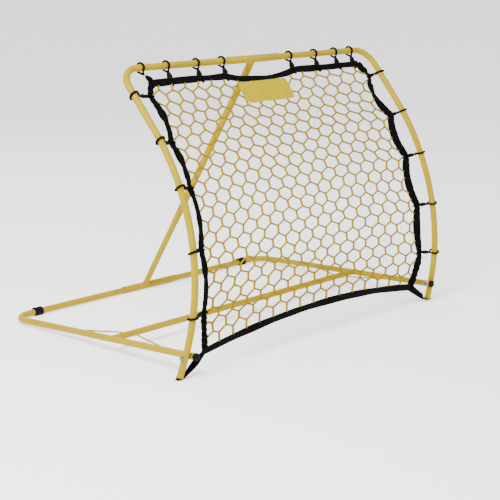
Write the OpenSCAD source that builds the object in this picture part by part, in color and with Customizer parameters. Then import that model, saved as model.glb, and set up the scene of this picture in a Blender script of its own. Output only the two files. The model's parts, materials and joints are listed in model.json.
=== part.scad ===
// Pitch back rebounder: a bowed tube frame that carries a net, hinged on a
// ground frame and held at its angle by a telescopic strut.
// X runs along the bars, +Y to the rear, +Z up. Sizes are in millimetres.

/* [Tube] */
// Outer diameter of the main tube
tube_d = 25; // [22:0.5:28]
// Wall of every tube
tube_wall = 1.2; // [0.8:0.1:1.6]
// Radial gap between tubes that slide or turn in each other
slide_gap = 0.3; // [0.2:0.05:0.4]
// Radial gap of a fixed spigot in its socket
spigot_gap = 0.15; // [0.05:0.05:0.3]
// Amount by which a bend draws the tube in, on its radius
bend_draw = 0.05; // [0.03:0.01:0.1]
// Length of the spigot at the corner joints
spigot_len = 60; // [45:1:80]

/* [Net frame] */
// Distance between the feet, centre to centre
foot_spread = 1440; // [1300:10:1600]
// Forward lean of the tube at the foot, in degrees
foot_lean = 14.6; // [10:0.2:18]
// Straight length from the ground to the start of the bow
foot_straight = 94; // [88:1:120]
// Bend radius of the bow
bow_r = 833; // [780:1:880]
// Angle that the bow turns through, in degrees
bow_angle = 56.4; // [50:0.2:60]
// Straight length from the bow to the middle of the top bar
neck_straight = 263; // [240:1:300]
// Angle at which the side tubes draw together upwards, in degrees
splay_angle = 2.2; // [0:0.1:3]
// Angle at which the bows turn towards each other, in degrees
bow_turn_angle = 8; // [0:0.5:12]
// Bend radius of the top corners
top_bend_r = 75; // [60:1:95]
// Length of the corner tube's leg, from the top bar to its open end
top_leg = 205; // [185:1:215]
// Distance from a corner joint to its snap button
button_inset = 33; // [26:1:40]

/* [Ground frame] */
// Height of the hinge bolts
pivot_h = 84; // [78:1:88]
// Gap between a side tube and the arm beside it
pivot_gap = 2.6; // [2.4:0.1:3.5]
// Distance that each arm runs outwards to the rear
arm_toe = 36; // [0:1:60]
// Length of arm ahead of the hinge bolt
arm_nose = 20; // [16:1:30]
// Bend radius of the rear corners
rear_bend_r = 85; // [60:1:100]
// Distance from the rear bar to the open end of the corner tube
rear_leg = 230; // [200:1:260]
// Distance from the rear bar to the crossbar, along the arm
cross_from_rear = 612; // [560:1:660]
// Diameter of the brace rods
rod_d = 6; // [4:0.5:8]
// Distance from the rear bar to the rear end of a brace rod
rod_rear = 346; // [320:1:380]
// Distance from the rear bar to the front end of a brace rod
rod_front = 931; // [880:1:960]
// Distance from the arm at which the brace rods meet the crossbar
rod_inset = 104; // [80:1:130]
// Thickness of the rubber bands that the rear bar stands on
band_wall = 3; // [2:0.5:5]
// Width of the rubber bands
band_w = 24; // [18:1:32]
// Distance from the rear corner to a rubber band
band_inset = 127; // [115:1:150]
// Slit of the rubber bands
band_slit = 3; // [2:0.5:5]

/* [Strut] */
// Place of the strut along the bars
strut_x = -12; // [-30:1:30]
// Length of the outer strut tube, from the top bar
strut_outer_len = 857; // [820:1:900]
// Length of inner tube inside the outer one at rest
strut_overlap = 300; // [260:1:330]
// Length of the sleeve on the top bar
top_sleeve_len = 264; // [240:2:280]
// Middle of the sleeve on the top bar
top_sleeve_x = -9; // [-15:1:-5]
// Length of the sleeve on the rear bar
rear_sleeve_len = 288; // [270:2:300]
// Middle of the sleeve on the rear bar
rear_sleeve_x = 13; // [8:1:18]
// Place of the joint between the two halves of a bar
bar_joint_x = 207; // [196:1:214]
// Length of the spigot at the joint between two bar halves
bar_spigot_len = 95; // [85:1:110]
// Distance from a sleeve's end to its stop pin
pin_inset = 8; // [6:0.5:10]
// Diameter of the stop pins
pin_d = 5; // [4:0.5:6]
// Tilt angles at which the strut has a hole for its button, in degrees
hole_angles = [-8, 0, 8, 16];
// Distance from the outer tube's end to the button at rest
strut_button_inset = 150; // [140:1:165]

/* [Buttons] */
// Diameter of the snap buttons
button_d = 6; // [5:0.5:7]
// Height that a button stands proud of the tube
button_proud = 3.5; // [2.5:0.5:4.5]
// Radial gap of a button in its hole
button_gap = 0.2; // [0.1:0.05:0.4]
// Width of the leaf springs
leaf_w = 8; // [6:0.5:8.5]
// Thickness of the leaf springs
leaf_t = 0.8; // [0.5:0.1:1]
// Angle of the net frame's buttons from its front towards +X, in degrees
button_angle = 45; // [0:5:60]
// Length of the leaf springs
leaf_len = 46; // [38:1:50]

/* [Hinge bolts] */
// Diameter of the hinge bolts
bolt_d = 8; // [6:0.5:9]
// Radial gap of a bolt in the tubes
bolt_gap = 0.08; // [0.05:0.01:0.1]
// Width of the nuts across flats
nut_w = 13; // [11:0.5:15]
// Height of the nut's hexagon
nut_h = 6.5; // [5:0.5:8]
// Thickness of the washers
washer_t = 1.2; // [0.8:0.1:1.6]
// Gap beside a part that turns
side_gap = 0.6; // [0.4:0.1:0.8]

/* [Feet and plugs] */
// Length along the tube from the ground to the tube's end
foot_lift = 11; // [10:0.5:14]
// Diameter of the steel glides
glide_d = 15; // [12:1:18]
// Thickness of the steel glides
glide_t = 3; // [2:0.5:4]
// Length of the cap at the front end of an arm
cap_len = 12; // [8:1:16]
// Wall of the cap at the front end of an arm
cap_wall = 1.8; // [1:0.1:2.5]

/* [Net] */
// Number of cells across the net
net_cols = 14; // [10:1:16]
// Number of rows of cells
net_rows = 21; // [14:1:24]
// Thickness of the net's cord
net_cord = 3; // [2:0.5:4]
// Distance from the middle of the top bar to the top hem, along the side tubes
net_top_gap = 62; // [58:1:75]
// Dip of the top hem at its middle
hem_dip = 18; // [0:1:25]
// Height of the bottom hem's middle along the side tubes
hem_bottom = 134; // [120:1:160]
// Rise of the bottom hem from its corners to its middle
hem_rise = 55; // [30:1:60]
// Distance from a foot's middle to the net at the ties, along the bars
net_side_gap = 114; // [100:1:130]
// Distance that the side hems draw in between the ties
hem_draw = 27; // [0:1:40]
// Distance that the net draws in at its top corners
corner_draw = 30; // [10:1:40]
// Width of the top and bottom webbing
web_w = 28; // [20:1:32]
// Width of the side webbing
side_web_w = 26; // [20:1:30]
// Roll of the side webbing at a tie, in degrees
tie_roll_angle = 65; // [40:1:80]
// Roll of the side webbing half way between two ties, in degrees
bay_roll_angle = 48; // [20:1:70]
// Thickness of the webbing
web_t = 3; // [2:0.5:4]
// Distance that the net is drawn back at its middle
net_back = 30; // [10:1:40]
// Width of the patch under the top hem
patch_w = 268; // [200:1:300]
// Height of the patch
patch_h = 104; // [80:1:120]
// Thickness of the patch
patch_t = 1.5; // [1:0.5:3]
// Middle of the patch
patch_x = -16; // [-40:1:20]

/* [Ties] */
// Diameter of the elastic cord
cord_d = 4.8; // [3:0.1:5.5]
// Radial gap between a tie's loop and its tube
tie_gap = 0.3; // [0.2:0.1:1]
// Diameter of the toggles
toggle_d = 14; // [9:0.5:15]
// Length of the toggles
toggle_len = 20; // [14:1:22]
// Gap between a tie's loop and its toggle
toggle_gap = 6; // [4:0.5:7]
// Places of the ties on the left side tube, as shares from the bottom hem to the top hem
left_tie_shares = [0.101, 0.336, 0.567, 0.751, 0.948];
// Places of the ties on the right side tube, as shares from the bottom hem to the top hem
right_tie_shares = [0.101, 0.316, 0.536, 0.734, 0.939];
// Places of the ties on the top bar, as shares of the net's half width
top_tie_shares = [-0.962, -0.764, -0.52, -0.302, 0.3135, 0.561, 0.767, 0.932];
// Slant of a tie's loop on its tube, in degrees
tie_angle = 14; // [0:1:20]

/* [Hidden] */
$fn = 48;
cord_fn = 16;

YELLOW = "#e8c93a";
BLACK = "#1c1c20";
STEEL = "#b9bcc0";
SPRING = "#8d9096";
CORD_YELLOW = "#d9a62c";

bend_ease = 1;
tube_r = tube_d / 2;
bore_r = tube_r - tube_wall;
spigot_r = bore_r - spigot_gap;
spigot_bore = spigot_r - tube_wall;
sleeve_bore = tube_r + slide_gap;
sleeve_r = sleeve_bore + tube_wall;
bolt_r = bolt_d / 2;
pin_r = pin_d / 2;
rod_r = rod_d / 2;
cord_r = cord_d / 2;
button_r = button_d / 2;
band_r = tube_r + band_wall;
web_half = web_t / 2;
washer_r = nut_w * 0.62;
seam = web_w / 4;

// ---- vectors ----
function unit(v) = v / norm(v);
// v turned by angle a about the unit axis k
function turned(a, k, v) = v * cos(a) + cross(k, v) * sin(a) + k * (k * v) * (1 - cos(a));
function mix(a, b, t) = a + (b - a) * t;
function flip(v) = [-v.x, v.y, v.z];
function clamp(v, low, high) = max(low, min(high, v));

// ---- line of a side tube: straight foot, bow, straight neck ----
bow_len = bow_r * bow_angle * PI / 180;
path_len = foot_straight + bow_len + neck_straight;
neck_lean = bow_angle - foot_lean;
function lean_at(s) = s < foot_straight ? -foot_lean
    : s > foot_straight + bow_len ? neck_lean
    : (s - foot_straight) / bow_r * 180 / PI - foot_lean;
function bow_yz(a) = foot_straight * [-sin(foot_lean), cos(foot_lean)]
    + bow_r * [cos(foot_lean) - cos(a), sin(a) + sin(foot_lean)];
function path_yz(s) = s < foot_straight ? s * [-sin(foot_lean), cos(foot_lean)]
    : s < foot_straight + bow_len ? bow_yz(lean_at(s))
    : bow_yz(neck_lean) + (s - foot_straight - bow_len) * [sin(neck_lean), cos(neck_lean)];
chord = unit([0, path_yz(path_len)[0], path_yz(path_len)[1]]);
// a direction in the plane of the bow, given the turn and the splay of the right side
function side_vec(v) = turned(-splay_angle, [0, 1, 0], turned(-bow_turn_angle, chord, v));
function side_rel(s) = side_vec([0, path_yz(s)[0], path_yz(s)[1]]);
function side_dir(s) = side_vec([0, sin(lean_at(s)), cos(lean_at(s))]);
// forward normal of the right side tube
function side_front(s) = side_vec([0, -cos(lean_at(s)), sin(lean_at(s))]);

// ---- linkage: the strut, the arm and the net frame make an isosceles triangle ----
rear_h = tube_r + band_wall - 0.5;
top_rel = side_rel(path_len);
pivot_s = pivot_h / side_dir(0).z;
pivot_rel = side_rel(pivot_s);
frame_reach = norm([top_rel.y - pivot_rel.y, top_rel.z - pivot_rel.z]);
rear_rel_y = pivot_rel.y + sqrt(pow(frame_reach, 2) - pow(pivot_h - rear_h, 2));
belly_y = min([for (s = [0 : 10 : path_len]) side_rel(s).y]);
foot_y = -(rear_rel_y + band_r + belly_y - tube_r) / 2;

function side_at(s) = [foot_spread / 2, foot_y, 0] + side_rel(s);
pivot = side_at(pivot_s);
top_corner = side_at(path_len);
arm_front = [pivot.x - tube_d - pivot_gap, pivot.y, pivot.z];
rear_corner = [arm_front.x + arm_toe, rear_rel_y + foot_y, rear_h];
arm_dir = unit(arm_front - rear_corner);
arm_len = norm(arm_front - rear_corner);
function arm_at(d) = rear_corner + arm_dir * d;
strut_top = [strut_x, top_corner.y, top_corner.z];
strut_foot = [strut_x, rear_corner.y, rear_corner.z];
strut_len = norm(strut_foot - strut_top);
strut_dir = unit(strut_foot - strut_top);
// strut length when the net frame leans back by angle a
apex = 2 * asin(strut_len / 2 / frame_reach);
function strut_len_at(a) = 2 * frame_reach * sin((apex - a) / 2);

// ---- net: x along the bars, s along the side tubes, off to the rear ----
hem_top = path_len - net_top_gap;
hem_half = foot_spread / 2 - net_side_gap;
function places(shares) = [for (t = shares) mix(hem_bottom, hem_top, t)];
left_ties = places(left_tie_shares);
right_ties = places(right_tie_shares);
top_ties = top_tie_shares * hem_half;
function rear_normal(s) = unit([0, side_dir(s).z, -side_dir(s).y]);
function net_set(s) = net_back * (1 - pow(2 * s / path_len - 1, 4));
function net_at(x, s, off = 0) = [x, side_at(s).y, side_at(s).z] + rear_normal(s) * (net_set(s) + off);
function up_normal(s) = unit([0, side_dir(s).y, side_dir(s).z]);

// ---- placing ----
module frame_at(p, x_axis, z_axis) {
    z = unit(z_axis);
    y = unit(cross(z, x_axis));
    x = cross(y, z);
    multmatrix([[x.x, y.x, z.x, p.x], [x.y, y.y, z.y, p.y], [x.z, y.z, z.z, p.z], [0, 0, 0, 1]])
        children();
}

module rod_between(a, b, r) {
    frame_at(a, abs(b.x - a.x) < 0.9 * norm(b - a) ? [1, 0, 0] : [0, 0, 1], b - a)
        cylinder(h = norm(b - a), r = r);
}

// straight leg that eases from r to the drawn radius as it enters a bend at len
module bend_leg(len, r, drawn) {
    rotate_extrude() polygon([[0, 0], [r, 0], [r, len - bend_ease], [r - 2 * drawn, len + 2 * bend_ease],
                              [0, len + 2 * bend_ease]]);
}

// solid rod along dir_in to a bend at corner and on along dir_out; the bend is drawn in
module bent_rod(corner, dir_in, dir_out, bend_r, len_in, len_out, r, drawn) {
    turn = acos(dir_in * dir_out);
    reach = bend_r * tan(turn / 2);
    centre = corner - dir_in * reach + unit(cross(cross(dir_in, dir_out), dir_in)) * bend_r;
    frame_at(centre, dir_in, cross(dir_in, dir_out)) {
        translate([reach - len_in, -bend_r, 0]) rotate([0, 90, 0]) bend_leg(len_in - reach, r, drawn);
        rotate([0, 0, -90]) rotate_extrude(angle = turn) translate([bend_r, 0]) circle(r - drawn);
        rotate([0, 0, turn]) translate([len_out - reach, -bend_r, 0]) rotate([0, -90, 0])
            bend_leg(len_out - reach, r, drawn);
    }
}

module mirrored(left) {
    if (left) mirror([1, 0, 0]) children();
    else children();
}

// spigot that leaves p along dir, with its neck inside the tube behind p
module spigot_solid(p, dir, len) {
    rod_between(p - dir * tube_wall * 3, p + dir * len, spigot_r);
}

module spigot_bore(p, dir, len) {
    rod_between(p - dir * tube_wall * 6, p + dir * (len + 1), spigot_bore);
}

// ---- ground frame ----
arm_joint = arm_at(rear_leg);
arm_button = arm_at(rear_leg - button_inset);
arm_end = arm_at(arm_len + arm_nose);

arm_under = unit(cross([1, 0, 0], arm_dir));

module base_arm() {
    color(YELLOW) difference() {
        union() {
            rod_between(arm_joint, arm_end, tube_r);
            spigot_solid(arm_joint, -arm_dir, spigot_len);
        }
        rod_between(arm_joint + arm_dir * tube_wall * 4, arm_end + arm_dir, bore_r);
        spigot_bore(arm_joint, -arm_dir, spigot_len);
        rod_between(arm_front - [tube_d, 0, 0], arm_front + [tube_d, 0, 0], bolt_r + bolt_gap);
        button_hole(arm_button, arm_dir, arm_under);
    }
}

module base_arm_left() { mirrored(true) base_arm(); }
module base_arm_right() { mirrored(false) base_arm(); }

module crossbar() {
    end = arm_at(cross_from_rear);
    color(YELLOW) difference() {
        rod_between(flip(end), end, tube_r);
        rod_between(flip(end), end, bore_r);
        for (left = [true, false]) mirrored(left) rod_between(rear_corner, arm_end, tube_r);
    }
}

module brace_rods(left) {
    end = arm_at(cross_from_rear);
    meet = end - [rod_inset, 0, 0];
    color(YELLOW) mirrored(left) for (d = [rod_rear, rod_front]) difference() {
        rod_between(arm_at(d), meet, rod_r);
        rod_between(rear_corner, arm_end, tube_r);
        rod_between(flip(end), end, tube_r);
    }
}

module brace_rods_left() { brace_rods(true); }
module brace_rods_right() { brace_rods(false); }

// corner tube: leg from the open end to the corner, then along the bar to bar_end
module corner_tube(corner, leg_dir, bend_r, leg_len, bar_end, spigot, left) {
    bar_dir = [-1, 0, 0];
    bar_len = corner.x - bar_end;
    tip = [bar_end, corner.y, corner.z];
    mirrored(left) difference() {
        union() {
            bent_rod(corner, leg_dir, bar_dir, bend_r, leg_len, bar_len, tube_r, bend_draw);
            if (spigot > 0) spigot_solid(tip, bar_dir, spigot);
        }
        bent_rod(corner, leg_dir, bar_dir, bend_r, leg_len + 1,
                 spigot > 0 ? bar_len - tube_wall * 4 : bar_len + 1, bore_r, bend_draw);
        if (spigot > 0) spigot_bore(tip, bar_dir, spigot);
        children();
    }
}

module pin_hole(bar, x) {
    rod_between([x, bar.y, bar.z - tube_d], [x, bar.y, bar.z + tube_d], pin_r + spigot_gap);
}

rear_pins = [rear_sleeve_x - rear_sleeve_len / 2 - pin_inset, rear_sleeve_x + rear_sleeve_len / 2 + pin_inset];
top_pins = [top_sleeve_x - top_sleeve_len / 2 - pin_inset, top_sleeve_x + top_sleeve_len / 2 + pin_inset];

module rear_corner_left() {
    color(YELLOW) corner_tube(rear_corner, -arm_dir, rear_bend_r, rear_leg, -bar_joint_x, 0, true) {
        button_hole(arm_button, arm_dir, arm_under);
        for (x = rear_pins) pin_hole(rear_corner, -x);
    }
}

module rear_corner_right() {
    color(YELLOW) corner_tube(rear_corner, -arm_dir, rear_bend_r, rear_leg, bar_joint_x, bar_spigot_len,
                              false) {
        button_hole(arm_button, arm_dir, arm_under);
        pin_hole(rear_corner, rear_pins[1]);
    }
}

module ground_band(left) {
    middle = rear_corner - [band_inset, 0, 0];
    color(BLACK) mirrored(left) difference() {
        rod_between(middle - [band_w / 2, 0, 0], middle + [band_w / 2, 0, 0], band_r);
        rod_between(middle - [band_w, 0, 0], middle + [band_w, 0, 0], tube_r);
        translate([middle.x - band_w, middle.y - band_r * 2, -band_r]) cube([band_w * 2, band_r * 4, band_r]);
        translate(middle) rotate([35, 0, 0]) translate([-band_w, -band_slit / 2, 0])
            cube([band_w * 2, band_slit, band_r * 2]);
    }
}

module ground_band_left() { ground_band(true); }
module ground_band_right() { ground_band(false); }

module arm_caps() {
    color(BLACK) for (left = [true, false]) mirrored(left)
        frame_at(arm_end, [1, 0, 0], arm_dir) rotate_extrude() {
            translate([0, -cap_len]) square([bore_r - spigot_gap, cap_len]);
            polygon([[0, 0], [tube_r + cap_wall, 0], [tube_r + cap_wall, cap_len * 0.7],
                     [tube_r, cap_len * 0.92], [tube_r * 0.7, cap_len], [0, cap_len]]);
        }
}

// room that the side tube takes beside a washer, because it leans towards the other side
lean_room = washer_r * abs(side_dir(0).x) / side_dir(0).z;
spacer_t = pivot_gap - lean_room - side_gap;

// hinge bolts point to -X, with their heads on the +X side of each pair of tubes
function bolt_ends(left) = left
    ? [flip(arm_front).x + tube_r, flip(pivot).x - tube_r - lean_room]
    : [pivot.x + tube_r + lean_room, arm_front.x - tube_r];
function nut_seat(left) = bolt_ends(left)[1] - side_gap - washer_t;
function head_seat(left) = bolt_ends(left)[0] + side_gap + washer_t;

module bolt_frame(x) { translate([x, pivot.y, pivot.z]) rotate([0, -90, 0]) children(); }

module pivot_bolts() {
    color(BLACK) for (left = [true, false]) bolt_frame(head_seat(left)) {
        cylinder(h = head_seat(left) - nut_seat(left) + nut_h * 0.8, r = bolt_r);
        translate([0, 0, -nut_h * 0.7]) cylinder(h = nut_h * 0.7, r1 = nut_w * 0.36, r2 = nut_w / 2);
    }
}

module pivot_nuts() {
    color(STEEL) for (left = [true, false]) bolt_frame(nut_seat(left)) difference() {
        union() {
            intersection() {
                cylinder(h = nut_h, r = nut_w / 2 / cos(30), $fn = 6);
                cylinder(h = nut_h, r1 = nut_w / 2 + nut_h * 0.9, r2 = nut_w / 2 + nut_h * 0.02);
            }
            translate([0, 0, nut_h]) intersection() {
                sphere(r = nut_w * 0.44);
                cylinder(h = nut_w, r = nut_w);
            }
        }
        translate([0, 0, -1]) cylinder(h = nut_h * 0.8 + 1.4, r = bolt_r);
    }
}

module pivot_washers() {
    color(STEEL) for (left = [true, false]) {
        for (x = [head_seat(left), nut_seat(left) + washer_t]) washer(x, washer_t);
        washer(left ? flip(arm_front).x - tube_r - side_gap / 2
               : arm_front.x + tube_r + side_gap / 2 + spacer_t, spacer_t);
    }
}

module washer(x, t) {
    bolt_frame(x) difference() {
        cylinder(h = t, r = washer_r);
        translate([0, 0, -1]) cylinder(h = t + 2, r = bolt_r + bolt_gap);
    }
}

module stop_pins(bar, places) {
    color(BLACK) for (x = places) translate([x, bar.y, bar.z - tube_r - pin_r * 0.4])
        rotate_extrude() polygon([[0, -pin_r * 0.4], [pin_r * 1.2, -pin_r * 0.3], [pin_r * 1.7, pin_r * 0.2],
            [pin_r * 1.7, pin_r * 0.4], [pin_r, pin_r * 0.4], [pin_r, tube_d + pin_r * 0.4],
            [pin_r * 1.7, tube_d + pin_r * 0.4], [pin_r * 1.7, tube_d + pin_r * 0.6],
            [pin_r * 1.2, tube_d + pin_r * 1.1], [0, tube_d + pin_r * 1.2]]);
}

module rear_stop_pins() { stop_pins(rear_corner, rear_pins); }
module top_stop_pins() { stop_pins(top_corner, top_pins); }

// ---- snap buttons: stem along face, flange and leaf spring inside the inner tube ----
module button_hole(p, along, face) {
    frame_at(p, along, face) cylinder(h = sleeve_r * 2, r = button_r + button_gap);
}

// inner_r is the bore of the tube that holds the spring, outer_r the outside of the outer tube
module snap_button(p, along, face, inner_r, outer_r) {
    color(SPRING) frame_at(p, along, face) rotate_extrude() polygon([
        [0, inner_r - leaf_t * 2.6], [button_r * 1.2, inner_r - leaf_t * 2.6],
        [button_r * 1.2, inner_r - leaf_t * 1.3], [button_r, inner_r - leaf_t * 1.3],
        [button_r, outer_r + button_proud * 0.5], [button_r * 0.7, outer_r + button_proud * 0.88],
        [0, outer_r + button_proud]]);
}

// leaf spring: a flat strip bent back on itself, one leg under the button, one on the far wall
module snap_spring(p, along, face, inner_r) {
    upper = inner_r - leaf_t * 2.6;
    lower = -sqrt(pow(inner_r, 2) - pow(leaf_w / 2, 2)) + spigot_gap;
    tip = button_d * 0.8;
    color(SPRING) frame_at(p, along, face) translate([0, leaf_w / 2, 0]) rotate([90, 0, 0])
        linear_extrude(leaf_w) polygon([
            [tip, upper], [-tip, upper], [-leaf_len * 0.8, lower + leaf_t * 4.4],
            [-leaf_len * 0.92, lower + leaf_t * 3.6], [-leaf_len, lower + leaf_t * 2.2],
            [-leaf_len, lower + leaf_t * 1.4], [-leaf_len * 0.92, lower], [-leaf_len * 0.2, lower],
            [-leaf_len * 0.2, lower + leaf_t], [-leaf_len * 0.88, lower + leaf_t],
            [-leaf_len * 0.96, lower + leaf_t * 1.6], [-leaf_len * 0.88, lower + leaf_t * 2.5],
            [-leaf_len * 0.78, lower + leaf_t * 3.3], [-tip, upper - leaf_t], [tip, upper - leaf_t]]);
}

module rear_button(left) {
    mirrored(left) snap_button(arm_button, arm_dir, arm_under, spigot_bore, tube_r);
}

module rear_button_left() { rear_button(true); }
module rear_button_right() { rear_button(false); }

module rear_button_springs() {
    for (left = [true, false]) mirrored(left)
        snap_spring(arm_button, -arm_dir, arm_under, spigot_bore);
}

// ---- net frame ----
joint_s = path_len - top_leg;
neck_dir = side_dir(path_len);
button_s = joint_s + button_inset;
// the way that a net frame's button faces, on the right side or mirrored for the left
function button_face(left) = turned(left ? -button_angle : button_angle, neck_dir, side_front(button_s));
bow_reach = bow_r * tan(bow_angle / 2);
bow_corner = side_at(foot_straight) + side_dir(0) * bow_reach;

module side_tube(left) {
    neck_len = joint_s - foot_straight - bow_len;
    color(YELLOW) mirrored(left) difference() {
        union() {
            bent_rod(bow_corner, side_dir(0), neck_dir, bow_r,
                     foot_straight - foot_lift + bow_reach, bow_reach + neck_len, tube_r, bend_draw);
            spigot_solid(side_at(joint_s), neck_dir, spigot_len);
        }
        bent_rod(bow_corner, side_dir(0), neck_dir, bow_r,
                 foot_straight - foot_lift + bow_reach + 1, bow_reach + neck_len - tube_wall * 4, bore_r,
                 bend_draw);
        spigot_bore(side_at(joint_s), neck_dir, spigot_len);
        rod_between(pivot - [tube_d, 0, 0], pivot + [tube_d, 0, 0], bolt_r + bolt_gap);
        button_hole(side_at(button_s), neck_dir, button_face(left));
    }
}

module side_tube_left() { side_tube(true); }
module side_tube_right() { side_tube(false); }

module top_corner_left() {
    color(YELLOW) corner_tube(top_corner, neck_dir, top_bend_r, top_leg, -bar_joint_x, 0, true) {
        button_hole(side_at(button_s), neck_dir, button_face(true));
        for (x = top_pins) pin_hole(top_corner, -x);
    }
}

module top_corner_right() {
    color(YELLOW) corner_tube(top_corner, neck_dir, top_bend_r, top_leg, bar_joint_x, bar_spigot_len, false) {
        button_hole(side_at(button_s), neck_dir, button_face(false));
        pin_hole(top_corner, top_pins[1]);
    }
}

module top_button(left) {
    mirrored(left) snap_button(side_at(button_s), neck_dir, button_face(left), spigot_bore, tube_r);
}

module top_button_left() { top_button(true); }
module top_button_right() { top_button(false); }

module top_button_springs() {
    for (left = [true, false]) mirrored(left)
        snap_spring(side_at(button_s), neck_dir, button_face(left), spigot_bore);
}

foot_point = [side_at(foot_lift).x, side_at(foot_lift).y, 0];
strap_z = glide_t + web_t / 2;

module foot_caps() {
    color(BLACK) for (left = [true, false]) mirrored(left) difference() {
        union() {
            rod_between(side_at(0) - side_dir(0) * tube_r, side_at(foot_lift), tube_r + 0.8);
            rod_between(side_at(foot_lift) - side_dir(0), side_at(foot_lift + tube_r), bore_r - spigot_gap);
        }
        translate([foot_point.x - tube_d, foot_point.y - tube_d, -tube_d])
            cube([tube_d * 2, tube_d * 2, tube_d + glide_t + web_t]);
        rod_between(foot_point, foot_point + [0, 0, foot_lift + tube_r / 2], glide_t / 2);
    }
}

module foot_glides() {
    color(STEEL) for (left = [true, false]) mirrored(left) translate(foot_point) {
        cylinder(h = glide_t * 0.4, r1 = glide_d / 2 - glide_t * 0.4, r2 = glide_d / 2);
        translate([0, 0, glide_t * 0.4]) cylinder(h = glide_t * 0.6, r = glide_d / 2);
        cylinder(h = foot_lift + tube_r / 2, r = glide_t / 2);
    }
}

// ---- strut ----
module bar_sleeve(bar, x, len) {
    color(YELLOW) difference() {
        rod_between([x - len / 2, bar.y, bar.z], [x + len / 2, bar.y, bar.z], sleeve_r);
        rod_between([x - len, bar.y, bar.z], [x + len, bar.y, bar.z], sleeve_bore);
    }
}

module top_sleeve() { bar_sleeve(top_corner, top_sleeve_x, top_sleeve_len); }
module rear_sleeve() { bar_sleeve(rear_corner, rear_sleeve_x, rear_sleeve_len); }

outer_end = strut_top + strut_dir * strut_outer_len;
inner_end = outer_end - strut_dir * strut_overlap;
strut_back = unit(cross([1, 0, 0], strut_dir));
strut_button_at = outer_end - strut_dir * strut_button_inset;

module strut_outer_tube() {
    color(YELLOW) difference() {
        rod_between(strut_top, outer_end, sleeve_r);
        rod_between(strut_top, outer_end + strut_dir, sleeve_bore);
        rod_between(strut_top - [sleeve_r * 3, 0, 0], strut_top + [sleeve_r * 3, 0, 0], sleeve_r);
        for (a = hole_angles)
            button_hole(strut_button_at + strut_dir * (strut_len_at(a) - strut_len), strut_dir, strut_back);
    }
}

module strut_inner_tube() {
    color(YELLOW) difference() {
        rod_between(strut_foot, inner_end, tube_r);
        rod_between(strut_foot, inner_end - strut_dir, bore_r);
        rod_between(strut_foot - [sleeve_r * 3, 0, 0], strut_foot + [sleeve_r * 3, 0, 0], sleeve_r);
        button_hole(strut_button_at, strut_dir, strut_back);
    }
}

module strut_button() { snap_button(strut_button_at, strut_dir, strut_back, bore_r, sleeve_r); }
module strut_button_spring() { snap_spring(strut_button_at, strut_dir, strut_back, bore_r); }

// ---- net and webbing ----
// share of the way from one tie to the next, 0 at a tie and 1 half way
function between(ties, s, i = 0) =
    s <= ties[0] ? 0
    : i >= len(ties) - 1 ? 0
    : s <= ties[i + 1] ? let (u = (s - ties[i]) / (ties[i + 1] - ties[i])) 4 * u * (1 - u)
    : between(ties, s, i + 1);
function hem_x(ties, s) = hem_half - hem_draw * between(ties, s);
function bottom_s(x) = hem_bottom - hem_rise * pow(clamp(abs(x) / hem_half, 0, 1), 2);
function top_s(x) = hem_top - hem_dip * pow(cos(90 * clamp(abs(x) / top_ties[4], 0, 1)), 2);

// point of the net's lattice: i counts half cells across, k counts rows
row_amp = 0.16;
function lattice(i, k) =
    let (a = i / net_cols - 1,
         b = (k + (((i + k) % 2 == 0) ? row_amp : -row_amp)) / net_rows,
         x0 = a * hem_half,
         s = mix(bottom_s(x0), top_s(x0), clamp(b, 0, 1)))
    [a * (hem_x(a < 0 ? left_ties : right_ties, s) - web_half / 2), s];
function corner_step(i, k) = ((i + k) % 2 == 0)
    ? [[-1, 0.6], [1, 0.6], [0, -1.15]]
    : [[1, -0.6], [-1, -0.6], [0, 1.15]];
function net_point(i, k, c) =
    let (p = lattice(i, k), d = c == 3 ? [0, 0] : corner_step(i, k)[c] * net_cord / 2)
    net_at(p[0] + d[0], p[1] + d[1], c == 3 ? -net_cord / 2 : net_cord / 2);

net_span = 2 * net_cols + 1;
function net_id(i, k, c) = ((k * net_span) + i) * 4 + c;
function is_up(i, k) = (i + k) % 2 == 0;
// faces of one strand from junction a to b; ar, al are the corners on its right and left
function strand(a, b, al, ar, bl, br) = [
    [al, ar, br], [al, br, bl],
    [a, b, br], [a, br, ar],
    [b, a, al], [b, al, bl]];
function end_cap(a, al, ar) = [[a, al, ar]];
function to_right(i, k) = i < net_span - 1
    ? strand(net_id(i, k, 3), net_id(i + 1, k, 3),
             net_id(i, k, is_up(i, k) ? 1 : 2), net_id(i, k, is_up(i, k) ? 2 : 0),
             net_id(i + 1, k, is_up(i, k) ? 2 : 0), net_id(i + 1, k, is_up(i, k) ? 1 : 2))
    : end_cap(net_id(i, k, 3), net_id(i, k, is_up(i, k) ? 1 : 2), net_id(i, k, is_up(i, k) ? 2 : 0));
function to_left(i, k) = i > 0 ? []
    : end_cap(net_id(i, k, 3), net_id(i, k, is_up(i, k) ? 2 : 1), net_id(i, k, is_up(i, k) ? 0 : 2));
function upward(i, k) = !is_up(i, k) ? []
    : k < net_rows ? strand(net_id(i, k, 3), net_id(i, k + 1, 3), net_id(i, k, 0), net_id(i, k, 1),
                            net_id(i, k + 1, 1), net_id(i, k + 1, 0))
    : end_cap(net_id(i, k, 3), net_id(i, k, 0), net_id(i, k, 1));
function downward(i, k) = is_up(i, k) || k > 0 ? []
    : end_cap(net_id(i, k, 3), net_id(i, k, 0), net_id(i, k, 1));
function back_face(i, k) = [[net_id(i, k, 0), net_id(i, k, 2), net_id(i, k, 1)]];

module net() {
    points = [for (k = [0 : net_rows], i = [0 : net_span - 1], c = [0 : 3]) net_point(i, k, c)];
    faces = [for (k = [0 : net_rows], i = [0 : net_span - 1])
        for (f = concat(to_right(i, k), to_left(i, k), upward(i, k), downward(i, k), back_face(i, k))) f];
    color(CORD_YELLOW) polyhedron(points, faces);
}

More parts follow.
